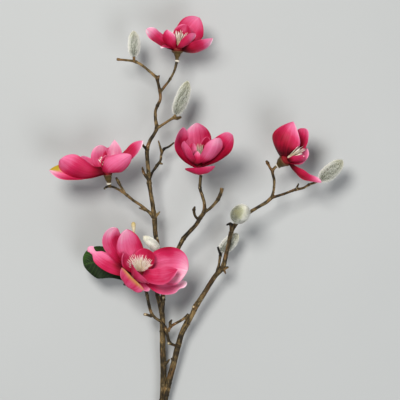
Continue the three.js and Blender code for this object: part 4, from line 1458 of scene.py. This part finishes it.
def all_blooms() -> list[Bloom]:
    """Lists the five blooms, each tepal as the picture shows it.

    Returns:
        The blooms.
    """
    # Each tepal's tone, pale_rim, lean, base and glow paint light and shade on it as well as
    # setting its colour.
    return [
        Bloom("top_bloom", "top_bloom_stalk", [
            (-28.6, 426.8, 43.5, 2.3), (-28.2, 431, 44, 3.9), (-28, 436, 44.5, 7.7)], [
            Tepal((-23, 12, 4), (-36.5, 26.5, 9), 22, (0.5, 0.6, 0.7), 40, broad=0.7, point=0.45,
                  right=1.15, flick=2, tone=-0.05, pale_tip=0.45, pale_rim=0.1, lean=0.1, base=0.4,
                  glow=((0.4, 0, -0.15), (1.0, -0.5, 0.3))),
            Tepal((-10, 11, 12), (-12.5, 24.5, 16), 19, (0.3, 0.3, -0.9), 60, point=0.8, tone=-0.1,
                  pale_tip=0.25, lean=-0.2, base=0.2),
            Tepal((9.5, 7, 14), (21.5, 19.5, 16), 17, (-0.4, 0.6, -0.6), 60, broad=0.75, tone=-0.05,
                  pale_tip=0.3, pale_rim=0.1, lean=-0.1),
            Tepal((23, 1, 5), (43, 14, 9), 21.5, (-0.3, 0.75, -0.6), 50, point=0.95, right=1.25,
                  tone=-0.1, pale_tip=0.45, lean=-0.15, base=0.4, glow=((0.4, 0, -0.15),)),
            Tepal((14, 21, -8), (26, 40.5, 2), 37, (-0.3, -0.2, 0.9), 42, point=0.58, pale_tip=0.25,
                  pale_rim=-0.15, lean=-0.05, glow=((0.6, 0, 0.1),)),
            Tepal((5, 16, 1), (11, 30.5, 8), 25, (-0.1, -0.2, 0.9), 45, tone=-0.25, pale_tip=0.25,
                  lean=-0.1, glow=((0.8, 0, 0.2),)),
            Tepal((-14, 4, 9), (-21, 3.5, 11), 9, (0.3, 0.9, 0.3), 40, claw=0.3, tone=-0.15,
                  pale_tip=0.9, pale_rim=0.4, base=0.1),
            Tepal((-7, 10, -14), (-14, 20, -27), 18, (0.3, 0.5, 0.8), 45, tone=-0.1),
            Tepal((11, 6, -15), (22, 15, -28), 20, (-0.3, 0.6, 0.8), 45, tone=-0.1),
        ], Brush((0.12, 1, 0.3), 22.5, 34, 52, 1.3)),
        Bloom("left_bloom", "left_bloom_seat", [
            (-113.6, 273, 41.5, 3), (-114.5, 278, 44, 4.5), (-115, 283, 46.5, 5.8)], [
            Tepal((-41, -3, 2), (-71, 3.5, 9), 22, (0.2, 0.6, 0.8), 60, point=0.8, right=1.5,
                  tone=0.05, pale_tip=0.4, pale_rim=0.1, lean=0.15, base=0.45,
                  olive=(0.76, 0.3, 1.0)),
            Tepal((-31, 0, 14), (-57, 16.5, 16), 46, (0.2, 0.6, -0.8), 70, broad=0.76, claw=0.3,
                  left=0.86, tone=-0.1, pale_tip=0.3, pale_rim=-0.05, lean=-0.1),
            Tepal((-20, 9.5, -3), (-33, 20, 3), 16, (0.3, 0.4, 0.8), 40, tone=0.1, pale_tip=0.2,
                  lean=-0.05),
            Tepal((-7.5, 17, -7), (-7.5, 34.5, -2), 29, (0.1, -0.1, 1), 50, tone=0.05,
                  pale_rim=-0.05, lean=-0.1),
            Tepal((8.5, 20, 1), (8.5, 41, 6), 19, (-0.2, -0.2, 0.9), 35, point=1, tone=0.25,
                  pale_tip=0.2, pale_rim=0.0, glow=((0.6, -0.9, -0.15), (0.6, -0.3, 0.15))),
            Tepal((26, 20, 2), (43, 40, 8), 23, (-0.6, 0.35, 0.7), 60, point=0.8, tone=-0.1,
                  pale_tip=0.4, pale_rim=0.1, lean=0.15),
            Tepal((9, 5, 15), (29, 21.5, 18), 30, (-0.2, 0.5, -0.8), 65, broad=0.56, point=0.62,
                  right=1.2, tone=0.1, pale_tip=0.1, pale_rim=-0.15, lean=0.1, base=0.25,
                  glow=((0.4, -0.3, -0.15),)),
            Tepal((-4, 12, 5), (0.5, 22, 9), 10, (0.1, 0.2, 0.9), 40, tone=-0.1, pale_tip=0.2),
            Tepal((1, 19, -6), (1.5, 32, -4), 14, (0, -0.1, 1), 40, tone=-0.15),
            Tepal((0, 15, -34), (3, 28, -47.1), 20, (0, 0.5, 0.8), 22, tone=-0.1, ruffle=0.2,
                  curl=0),
        ], Brush((-0.5, 0.85, 0.12), 18.5, 14, 16, 1.0)),
        Bloom("middle_bloom", "middle_bloom_stalk", [
            (1, 284.5, 50, 2.6), (0, 288.5, 52.5, 4), (-1, 292.5, 55.5, 4.8)], [
            Tepal((-1, 31, 3), (-3, 52, 16), 34, (0, -0.5, 0.8), 42, broad=0.55, point=0.65,
                  tone=0.05, pale_tip=0.3, pale_rim=-0.1, lean=-0.15, base=0.25),
            Tepal((-22, 21, 8), (-21, 45.5, 22), 27, (0.7, -0.2, 0.6), 50, point=0.4, tone=-0.1,
                  pale_tip=0.3, base=0.2, glow=((0.4, -0.9, -0.2),)),
            Tepal((-14, 12, 18), (-18, 29.5, 30), 16, (0.5, 0.4, -0.6), 55, point=0.8,
                  pale_tip=0.15, pale_rim=0.05, base=0.4),
            Tepal((26, 18, 7), (41, 36.5, 20), 31, (-0.7, 0, 0.6), 50, point=0.42, left=1.1,
                  tone=-0.2, pale_tip=0.35, pale_rim=0.0, lean=-0.15, base=0.2),
            Tepal((15, 13, 18), (22.5, 33, 30), 28, (-0.4, 0.4, -0.7), 55, tone=0.15, pale_tip=0.2,
                  pale_rim=-0.15, lean=0.05),
            Tepal((7, 19, 8), (10, 34.5, 16), 14, (-0.2, 0.1, 1), 50, tone=-0.2, pale_tip=0.1,
                  pale_rim=0.35),
            Tepal((-7, 16, 12), (-8, 27, 19), 11, (0.4, -0.3, 0.7), 40, tone=0.1, pale_tip=0.0,
                  pale_rim=0.1, lean=0.2),
            Tepal((-2, 5, 11), (-2, 17.5, 16), 14, (0, 0.6, -0.6), 40, point=1, claw=0.7,
                  tone=-0.15, pale_tip=0.4, base=0.5, lean=-0.1),
            Tepal((1, -11, 12), (2, -3, 24), 39, (-0.04, 1, 0.2), 40, broad=0.97, claw=0.12,
                  flare=5, tone=-0.15, pale_tip=0.15, pale_rim=0.0, lean=-0.1, base=0.4),
            Tepal((4, 12, -8), (8, 28, -16), 26, (0, 0.4, 0.9), 45, tone=-0.1),
        ], Brush((0.17, 0.85, 0.5), 25, 17, 90, 3.4, shade=0.6)),
        Bloom("right_bloom", "right_bloom_stalk", [
            (98, 293.5, 41.5, 3.8), (102, 297, 44.5, 6.4), (106, 300, 48, 8.4)], [
            Tepal((-3, 20.5, 15), (9, 46, 12), 42, (0.4, 0.1, -0.9), 62, broad=0.59, point=0.85,
                  claw=0.55, tone=-0.2, pale_tip=0.4, lean=-0.15, glow=((0.4, -0.3, -0.1),)),
            Tepal((18, 19, -3), (23, 38.5, 0), 24, (-0.6, 0, 0.8), 45, point=0.3, tone=-0.25,
                  pale_tip=0.35, pale_rim=0.2, lean=0.1),
            Tepal((18, 2, -5), (25, 15, -1), 24, (-0.5, 0.3, 0.8), 45, tone=0.1, pale_tip=0.15,
                  base=0.4),
            Tepal((13, -1, 10), (24, 3, 12), 17, (-0.1, 0.8, -0.5), 60, tone=-0.05, pale_tip=0.1,
                  base=0.45, glow=((0.3, 0.6, -0.1),)),
            Tepal((19.5, -19, 2), (43.5, -27.5, 8), 15, (0.3, 0.7, 0.6), 50, broad=0.7, point=0.8,
                  claw=0.3, left=1.3, tone=-0.2, pale_tip=0.5, lean=-0.1, ruffle=1.3),
            Tepal((6, 16, -36), (11, 31, -48.6), 22, (0.2, 0.5, 0.8), 22, tone=-0.1, ruffle=0.2,
                  curl=0),
            Tepal((-1, 14, -10), (6, 31, -16), 24, (0.2, 0.3, 0.9), 45, tone=-0.2),
            Tepal((13, 8, -14), (20, 20, -26), 18, (0, 0.5, 0.8), 40, tone=-0.1),
        ], Brush((0.8, 0.56, 0.36), 24.5, 29, 30, 1.0), dome_olive=0.03),
        Bloom("front_bloom", "front_bloom_stalk", [
            (-72.5, 150, 41, 2.8), (-73.3, 154, 45, 4.2), (-73.8, 158, 49.5, 5)], [
            Tepal((-38, 11.5, 7), (-63.5, 33, 13), 20, (0.3, 0, 1), 36, broad=0.5, point=0.75,
                  right=1.2, pale_tip=0.4, pale_rim=-0.05, lean=0.05, base=0.6, spoon=4.6,
                  glow=((0.4, 0.3, -0.2), (0.6, 0.6, 0.15))),
            Tepal((-32, 34.5, 9), (-29.5, 56.5, 19), 31, (0.4, -0.1, 0.9), 44, point=0.55,
                  tone=-0.05, pale_tip=0.35, pale_rim=0.0, lean=-0.15, base=0.55,
                  glow=((0.8, -0.3, 0.15),)),
            Tepal((-12, 30, 13), (-16, 54.5, 30), 34, (0.1, -0.5, 0.8), 38, broad=0.55, point=0.65,
                  tone=0.1, pale_tip=0.25, pale_rim=-0.25, lean=-0.15, glow=((0.4, -0.9, -0.2),)),
            Tepal((34, 8.5, 9), (58, 5.5, 22), 46, (-0.5, 0, 0.85), 38, claw=0.62, left=1.15,
                  tone=0.15, pale_tip=0.3, pale_rim=-0.2, lean=0.1, base=0.15,
                  glow=((0.5, -0.9, -0.1), (0.7, 0.6, 0.1))),
            Tepal((25, -3, 17), (45.5, 6, 28), 26, (-0.5, 0.4, 0.75), 42, point=0.9, tone=0.05,
                  pale_tip=-0.05, pale_rim=0.05, base=0.0,
                  glow=((1, 0.9, 0.25), (0.2, 0.3, -0.15))),
            Tepal((27.5, -17.5, 2), (56, -10.5, 8), 22, (-0.3, 0.5, 0.8), 50, tone=0.15,
                  pale_tip=0.4, pale_rim=0.1, lean=-0.1, base=0.45, spoon=4.8,
                  glow=((0.8, -0.3, -0.15),)),
            Tepal((-2, -8, 20), (-10.5, 15, 34), 26, (0.4, 0.8, -0.3), 44, broad=0.36, point=1.1,
                  tone=-0.02, pale_tip=-0.05, pale_rim=0.0, lean=-0.1, base=0.05),
            Tepal((-17, -14, 11), (-9.5, -5.5, 24), 40, (0.7, 0.71, 0.2), 40, broad=0.97, point=0.5,
                  claw=0.12, flare=4, tone=0.05, pale_tip=0.0, pale_rim=0.1, base=0.1,
                  olive=(0.99, 0.0, 1.0)),
            Tepal((-16, 13, 9), (-20, 25.5, 18), 19, (0.7, 0, 0.7), 42, tone=-0.05, pale_tip=0.1,
                  pale_rim=0.2, glow=((0.5, -0.9, -0.2), (0.5, 0, 0.15))),
            Tepal((5, 18, 9), (6, 31.5, 17), 28, (-0.2, -0.5, 0.8), 42, tone=-0.1, pale_tip=0.0,
                  pale_rim=0.05, lean=-0.1, base=0.1, glow=((0.6, -0.3, 0.2),)),
            Tepal((4.5, -13, 3), (11, -20, 5), 11, (-0.1, 0.5, 0.8), 40, claw=0.3, tone=0.05,
                  pale_rim=0.1, lean=-0.05),
            Tepal((-6, -11, -1), (-10, -16, 1), 19, (0.5, 0.4, 0.8), 30, claw=0.8, tone=-0.1,
                  pale_tip=0.0, base=0.1),
        ], Brush((0.02, 0.74, 0.7), 25, 44, 170, 1.6)),
    ]


# ------------------------------------------------------------------ buds
# The direction in which an oval bud is broader.
OVAL_SIDE = (0.8, 0.6, 0.0)
# A bud's radius at each share of its length: quick to swell, slow to taper.
BUD_PROFILE = (
    (0.0, 0.25), (0.06, 0.55), (0.18, 0.85), (0.38, 1.0), (0.6, 0.93), (0.8, 0.72), (0.94, 0.42),
    (1.0, 0.12))


def bud_swell(share: np.ndarray) -> np.ndarray:
    """Rounds the profile of a bud.

    Args:
        share: Shares of its length.

    Returns:
        Its radius at each, as a share of the greatest.
    """
    dense = np.linspace(0, 1, 201)
    raw = np.interp(dense, *zip(*BUD_PROFILE))
    weights = np.hanning(25)
    padded = np.pad(raw, 12, mode="reflect", reflect_type="odd")
    return np.interp(share, dense, np.convolve(padded, weights / weights.sum(), "valid"))


@dataclass
class FurryBud:
    """A bud in its coat of hairs.

    lean_out is the angle in degrees between the hairs and the skin, skin_share the skin's share of
    the radius, pallor the least paleness, bow how the middle is pushed aside and oval how much
    broader the bud is one way. The last three fields paint shade on the coat, whose hairs stay as
    they are: it is darker by the first where the surface faces the second, from the cosine given
    by the third up. This darkening stands partly for skin that shows through the hairs there and
    partly for painted shade, which leaves the rims bright like backlit hair.
    """

    name: str
    stalk: str
    tip: Vec
    radius: float
    hairs: int = 3600
    hair_length: float = 3.7
    hair_radius: float = 0.17
    lean_out: float = 50.0
    skin_share: float = 0.84
    pallor: float = 0.0
    bow: Vec = (0.0, 0.0, 0.0)
    oval: float = 0.0
    # Painted shade: the coat is darker where the surface faces one side.
    painted_shade: float = 0.25
    painted_shade_side: Vec = (0.0, 0.0, 1.0)
    painted_shade_from: float = 0.6

    SAMPLES = 60
    CORNERS = 40
    FOOT_CORNERS = 20
    ROOT_DEPTH = 0.15
    # Each hair's thickness and paleness at its root, middle and end.
    TAPER = (1.0, 0.75, 0.12)
    PALENESS = (0.15, 0.65, 1.0)

    def widened(self, out: np.ndarray) -> np.ndarray:
        """How much wider the bud is towards each direction."""
        return 1 + self.oval * (2 * (out @ unit(np.array(OVAL_SIDE))) ** 2 - 1)

    def painted_shade_at(self, normals: np.ndarray) -> np.ndarray:
        """How much painted shade darkens the coat where the surface faces each way."""
        facing = normals @ unit(np.array(self.painted_shade_side))
        return self.painted_shade * smooth(facing, self.painted_shade_from, 1.0)

    def build(self, finishes: Finishes) -> bpy.types.Object:
        """Makes the bud and its hairs as one piece.

        Args:
            finishes: The materials by slot.

        Returns:
            The piece.
        """
        stalk = TWIGS[self.stalk]
        foot_rows = carry_on(stalk, stalk[-1][3] + FOOT_LIP, 0.6)
        base, tip = np.array(foot_rows[1][:3]), np.array(self.tip, float)
        axis = unit(tip - base)
        length = float(np.linalg.norm(tip - base))
        share = np.linspace(0, 1, self.SAMPLES)
        sag = np.cross(axis, [0.0, 0.0, 1.0]) * 0.02 * length + np.array(self.bow)
        centres = base + axis * (share * length)[:, None] + sag * np.sin(math.pi * share)[:, None]
        body = Path.framed(centres, self.radius * self.skin_share * bud_swell(share))
        out = body.outward(self.CORNERS)
        lumps = 1 + 0.03 * np.sin(3 * full_turn(self.CORNERS) + 6 * share[:, None])
        slope = np.arctan(np.gradient(body.radii, body.along))
        tilt = slope[:, None, None]
        # Painted shade on the body's skin where it faces that side.
        thin = self.painted_shade_at(out * np.cos(tilt) - body.tangents[:, None] * np.sin(tilt))
        skin = Skin()
        foot = Path.through([*foot_rows, (*(base + axis * 1.6), self.radius * 0.4)], 0.3)
        skin.loft(foot.rings(self.FOOT_CORNERS), along=self.pallor, seed=0.3, crown=0.0)
        skin.loft(body.rings(self.CORNERS, lumps * self.widened(out)),
                  along=np.maximum(self.pallor - thin, 0.0), seed=0.5, crown=share[:, None])
        self._hairs(skin, body, share, slope)
        piece = skin.piece(f"{self.name}_fur", finishes[Slot.FUR])
        dress(piece, self.name)
        return piece

    def _hairs(self, skin: Skin, body: Path, share: np.ndarray, slope: np.ndarray) -> None:
        """Adds the hairs, which lie forwards along the bud.

        Args:
            skin: The bud's skin.
            body: The path that its body follows.
            share: The share of the length at each sample of the path.
            slope: The angle at which the body widens at each sample.
        """
        rng = np.random.default_rng(len(self.name) * 7 + round(self.radius * 10))
        area = np.cumsum(body.radii + 0.3)
        spread = (np.arange(self.hairs) + 0.5) / self.hairs
        where = np.interp(spread * area[-1], area, share)
        turn = np.arange(self.hairs) * GOLDEN_ANGLE + rng.normal(0, 0.05, self.hairs)
        centre, tangent, normal, side = (
            np.stack([np.interp(where, share, grid[:, k]) for k in range(3)], 1)
            for grid in (body.centres, body.tangents, body.normals, body.sides))
        radius = np.interp(where, share, body.radii)[:, None]
        out = normal * np.cos(turn)[:, None] + side * np.sin(turn)[:, None]
        root = centre + out * (radius * self.widened(out)[:, None] - self.ROOT_DEPTH)
        tilt = np.interp(where, share, slope)[:, None]
        forward = tangent * np.cos(tilt) + out * np.sin(tilt)
        upright = out * np.cos(tilt) - tangent * np.sin(tilt)
        lean = self.lean_out + rng.normal(0, 9, self.hairs) + 16 * (1 - smooth(where, 0, 0.25))
        lean = np.radians(lean)[:, None]
        tufts = 0.32 * np.sin(11 * turn + 3 * np.sin(6 * where + 2 * turn))
        sway = np.cross(upright, forward) * (tufts + rng.normal(0, 0.2, self.hairs))[:, None]
        direction = unit(forward * np.cos(lean) + upright * np.sin(lean) + sway)
        reach = self.hair_length * rng.uniform(0.6, 1.1, self.hairs)
        reach = (reach * (1 - 0.45 * smooth(where, 0.7, 1.0)))[:, None]
        middle = root + direction * reach * 0.5 + upright * reach * 0.05
        end = root + direction * reach - upright * reach * 0.06
        across = unit(np.cross(direction, upright))
        over = np.cross(across, direction)
        shade = rng.uniform(0, 1, self.hairs)
        # Painted shade on the hairs whose roots face that side.
        thin = self.painted_shade_at(upright)
        paleness = np.maximum(self.PALENESS, self.pallor)
        for i in range(self.hairs):
            rings = []
            for place, thick in zip((root[i], middle[i], end[i]), self.TAPER):
                wide = self.hair_radius * thick
                rings.append([place + over[i] * wide, place - over[i] * wide / 2 - across[i] * wide,
                              place - over[i] * wide / 2 + across[i] * wide])
            along = np.maximum(paleness - thin[i], 0.0)[:, None]
            skin.loft(np.array(rings), along=along, seed=shade[i], crown=where[i])


FURRY_BUDS = (
    FurryBud("tip_bud", "tip_bud_stalk", tip=(-83, 460, 42), radius=7.2),
    FurryBud("side_bud", "side_bud_stalk", tip=(-15.5, 397.5, 45), radius=8.7),
    # The facing bud's coat is painted darker towards the camera and a little to the left, which
    # leaves its rim bright like backlit hair.
    FurryBud("facing_bud", "facing_bud_stalk", tip=(48, 235, 76), radius=12.6, hairs=7000,
             hair_length=2.6, hair_radius=0.13, lean_out=18.0, skin_share=0.94, pallor=0.62,
             bow=(3, 3, 0), oval=0.09, painted_shade=0.9, painted_shade_side=(-0.5, 0.0, 0.85), painted_shade_from=0.25),
    FurryBud("low_bud", "low_bud_stalk", tip=(47, 207, 24), radius=8),
    FurryBud("right_bud", "right_bud_stalk", tip=(177.5, 299, 38), radius=9.6),
    FurryBud("pale_bud", "pale_bud_stalk", tip=(-70.5, 204.5, 40), radius=6.4, hairs=2600,
             hair_length=2.2, hair_radius=0.15, lean_out=12.0, skin_share=0.95, pallor=0.55,
             painted_shade=0),
)


@dataclass
class CreamBud:
    """A small smooth bud on a thin stalk, widest near its end."""

    name: str = "cream_bud"
    stalk: str = "cream_bud_stalk"
    tip: Vec = (-83.5, 222.5, 33)
    radius: float = 2.9
    foot_lip: float = 0.1
    corners: int = 32
    profile: tuple[tuple[float, float], ...] = (
        (0.0, 0.3), (0.2, 0.5), (0.45, 0.78), (0.7, 1.0), (0.88, 0.9), (0.97, 0.55), (1.0, 0.2))

    def build(self, finishes: Finishes) -> bpy.types.Object:
        """Makes the bud.

        Args:
            finishes: The materials by slot.

        Returns:
            The piece.
        """
        stalk = TWIGS[self.stalk]
        foot_rows = carry_on(stalk, stalk[-1][3] + self.foot_lip, 0.6)
        base, tip = np.array(foot_rows[0][:3]), np.array(self.tip, float)
        rows = [(*(base + (tip - base) * at), self.radius * swell) for at, swell in self.profile]
        path = Path.through(rows, 0.3)
        share = (path.along / path.along[-1])[:, None]
        seam = np.abs(np.sin(1.5 * full_turn(self.corners) + 0.4)) ** 12
        skin = Skin()
        skin.loft(path.rings(self.corners, 1 - 0.06 * seam * smooth(share, 0.3, 0.6)), along=share)
        piece = skin.piece("cream_bud_piece", finishes[Slot.CREAM])
        dress(piece, self.name)
        return piece


# ------------------------------------------------------------------ leaf
@dataclass
class Leaf:
    """The one leaf, half hidden behind the front bloom."""

    stalk: str = "leaf_stalk"
    neck: tuple[Row, ...] = ((-89, 152, 33.5, 1.1), (-91, 158, 33.5, 1))
    mid: Vec = (-28, 14, 1)
    tip: Vec = (-54, 12, -3)
    width: float = 41
    cup: float = 14
    vein_pairs: int = 8
    vein_slant: float = 0.24
    vein_depth: float = 0.35
    midrib_width: float = 0.9
    midrib_height: float = 0.4
    half_thickness: float = 0.35
    puffiness: float = 0.5
    rim_wave: float = 1.6
    grid: tuple[int, int] = (90, 61)
    crowding: float = 1.4

    def build(self, finishes: Finishes) -> bpy.types.Object:
        """Makes the leaf with its stalk, midrib and side veins.

        Args:
            finishes: The materials by slot.

        Returns:
            The piece.
        """
        neck = [*carry_on(TWIGS[self.stalk], 1.1), *self.neck]
        base = np.array(neck[-1][:3], float) - end_direction(neck)
        upwards = (0, 0, 1)
        mid, tip = base + np.array(self.mid, float), base + np.array(self.tip, float)
        blade = Blade.between(base, mid, tip, upwards, self.grid, self.crowding)
        t, w = blade.t, blade.w
        half = Tepal(self.mid, self.tip, self.width, upwards, self.cup).half_width(t)
        bend = blade.bend(self.cup)
        wave = self.rim_wave * w * w * np.sin(11 * t + (w <= 0) * 1.6)
        slanted = (t - self.vein_slant * np.abs(w) ** 1.2) * self.vein_pairs * 1.15
        ladder = np.abs(np.mod(slanted, 1) - 0.5)
        side_veins = np.exp(-(ladder / 0.07) ** 2) * smooth(np.abs(w), 0.0, 0.08)
        side_veins = side_veins * (1 - smooth(np.abs(w), 0.8, 0.98))
        midrib = np.exp(-(w * half / self.midrib_width) ** 2)
        veins = np.clip(side_veins * 0.7 + midrib, 0, 1)
        puff = np.sin(math.pi * np.clip(2 * ladder, 0, 1)) * (1 - np.abs(w) ** 4)
        lift = (half * (1 - np.cos(w * bend)) / bend + wave + self.puffiness * puff
                - self.vein_depth * veins)
        sheet = blade.sheet(half, bend, lift)
        thickness = blade.thickness(self.half_thickness, 10) + self.midrib_height * midrib * (t < 1)
        inner = sheet + blade.inward[:, None] * (0.35 * thickness)[..., None]
        outer = sheet - blade.inward[:, None] * thickness[..., None]
        both = there_and_back(w, w)
        # Painted light: paler towards the tip and towards one rim, darker at the base, as the light
        # falls on the blade.
        lit = 0.35 + 0.35 * smooth(t, 0.35, 1.0) * smooth(both, -0.4, 0.9) + 0.1 * both
        skin = Skin()
        skin.loft(there_and_back(inner, outer), vein=there_and_back(veins, veins), pale=lit)
        skin.loft(Path.through(neck, 0.6).rings(14), vein=0.8, pale=0.5)
        piece = skin.piece("leaf_blade", finishes[Slot.LEAF])
        dress(piece, "leaf")
        return piece


# ------------------------------------------------------------------ studio
@dataclass(frozen=True)
class Lamp:
    """One soft area light, with its place and size in metres and its power in watts."""

    name: str
    place: Vec
    size: float
    power: float
    colour: Vec

    def build(self, target: Vec) -> None:
        """Hangs the lamp and turns it to a target.

        Args:
            target: The place that it points at, in metres.
        """
        light = bpy.data.lights.new(self.name, "AREA")
        light.shape = "DISK"
        light.size, light.energy, light.color = self.size, self.power, self.colour
        hung = bpy.data.objects.new(self.name, light)
        hung.location = self.place
        ray = Vector(target) - Vector(self.place)
        hung.rotation_euler = ray.to_track_quat("-Z", "Y").to_euler()
        bpy.context.scene.collection.objects.link(hung)


@dataclass
class Studio:
    """Camera, table and light, in metres; the camera looks straight down."""

    height: float = 3.0
    lens: float = 213.5
    sensor: float = 36.0
    aim: tuple[float, float] = (0.0054, 0.053)
    far: float = 100.0
    table_size: float = 12.0
    table_drop: float = 0.0003
    lit_place: Vec = (0.0, 0.05, 0.03)
    sky: Row = (0.93, 0.96, 1.0, 1.0)
    sky_strength: float = 0.2
    lamps: tuple[Lamp, ...] = (
        Lamp("key_light", (-0.7, 1.0, 2.4), 1.1, 66.0, (1.0, 0.98, 0.95)),
        Lamp("fill_light", (1.0, -1.1, 2.0), 1.4, 26.0, (0.95, 0.97, 1.0)),
    )

    def build(self) -> None:
        """Sets up the camera, the table and the lamps."""
        scene = bpy.context.scene
        camera = bpy.data.cameras.new("camera")
        camera.lens, camera.sensor_width, camera.clip_end = self.lens, self.sensor, self.far
        stand = bpy.data.objects.new("camera", camera)
        stand.location = (*self.aim, self.height)
        scene.collection.objects.link(stand)
        scene.camera = stand
        half = self.table_size / 2
        corners = np.array([(-half, -half), (half, -half), (half, half), (-half, half)], float)
        corners = np.column_stack([corners, np.full(4, -self.table_drop)])
        table = make_piece("table", corners, [[0, 1, 2, 3]], {}, TableFinish().material())
        for lamp in self.lamps:
            lamp.build(self.lit_place)
        world = bpy.data.worlds.new("studio")
        world.use_nodes = True
        background = world.node_tree.nodes["Background"]
        background.inputs["Color"].default_value = self.sky
        background.inputs["Strength"].default_value = self.sky_strength
        scene.world = world
        scene.view_settings.view_transform = "Standard"


def report(piece: bpy.types.Object) -> None:
    """Logs a finished piece."""
    LOG.info("%s: %d faces", piece.name, len(piece.data.polygons))


def main() -> None:
    """Builds the branch piece by piece."""
    logging.basicConfig(level=logging.INFO, format="%(message)s")
    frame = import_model()
    LOG.info("the frame has %d solids", len(frame["nodes"]))
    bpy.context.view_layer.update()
    Studio().build()
    LOG.info("camera, table and lamps are set")
    report(Wood().build())
    finishes = {
        Slot.RECEPTACLE: ReceptacleFinish().material(),
        Slot.TEPAL: PetalFinish().material(),
        Slot.STAMEN: BrushFinish().material(),
        Slot.FUR: FurFinish().material(),
        Slot.CREAM: CreamFinish().material(),
        Slot.LEAF: LeafFinish().material(),
    }
    for bloom in all_blooms():
        for piece in bloom.build(finishes):
            report(piece)
    for maker in (*FURRY_BUDS, CreamBud(), Leaf()):
        report(maker.build(finishes))


if __name__ == "__main__":
    main()
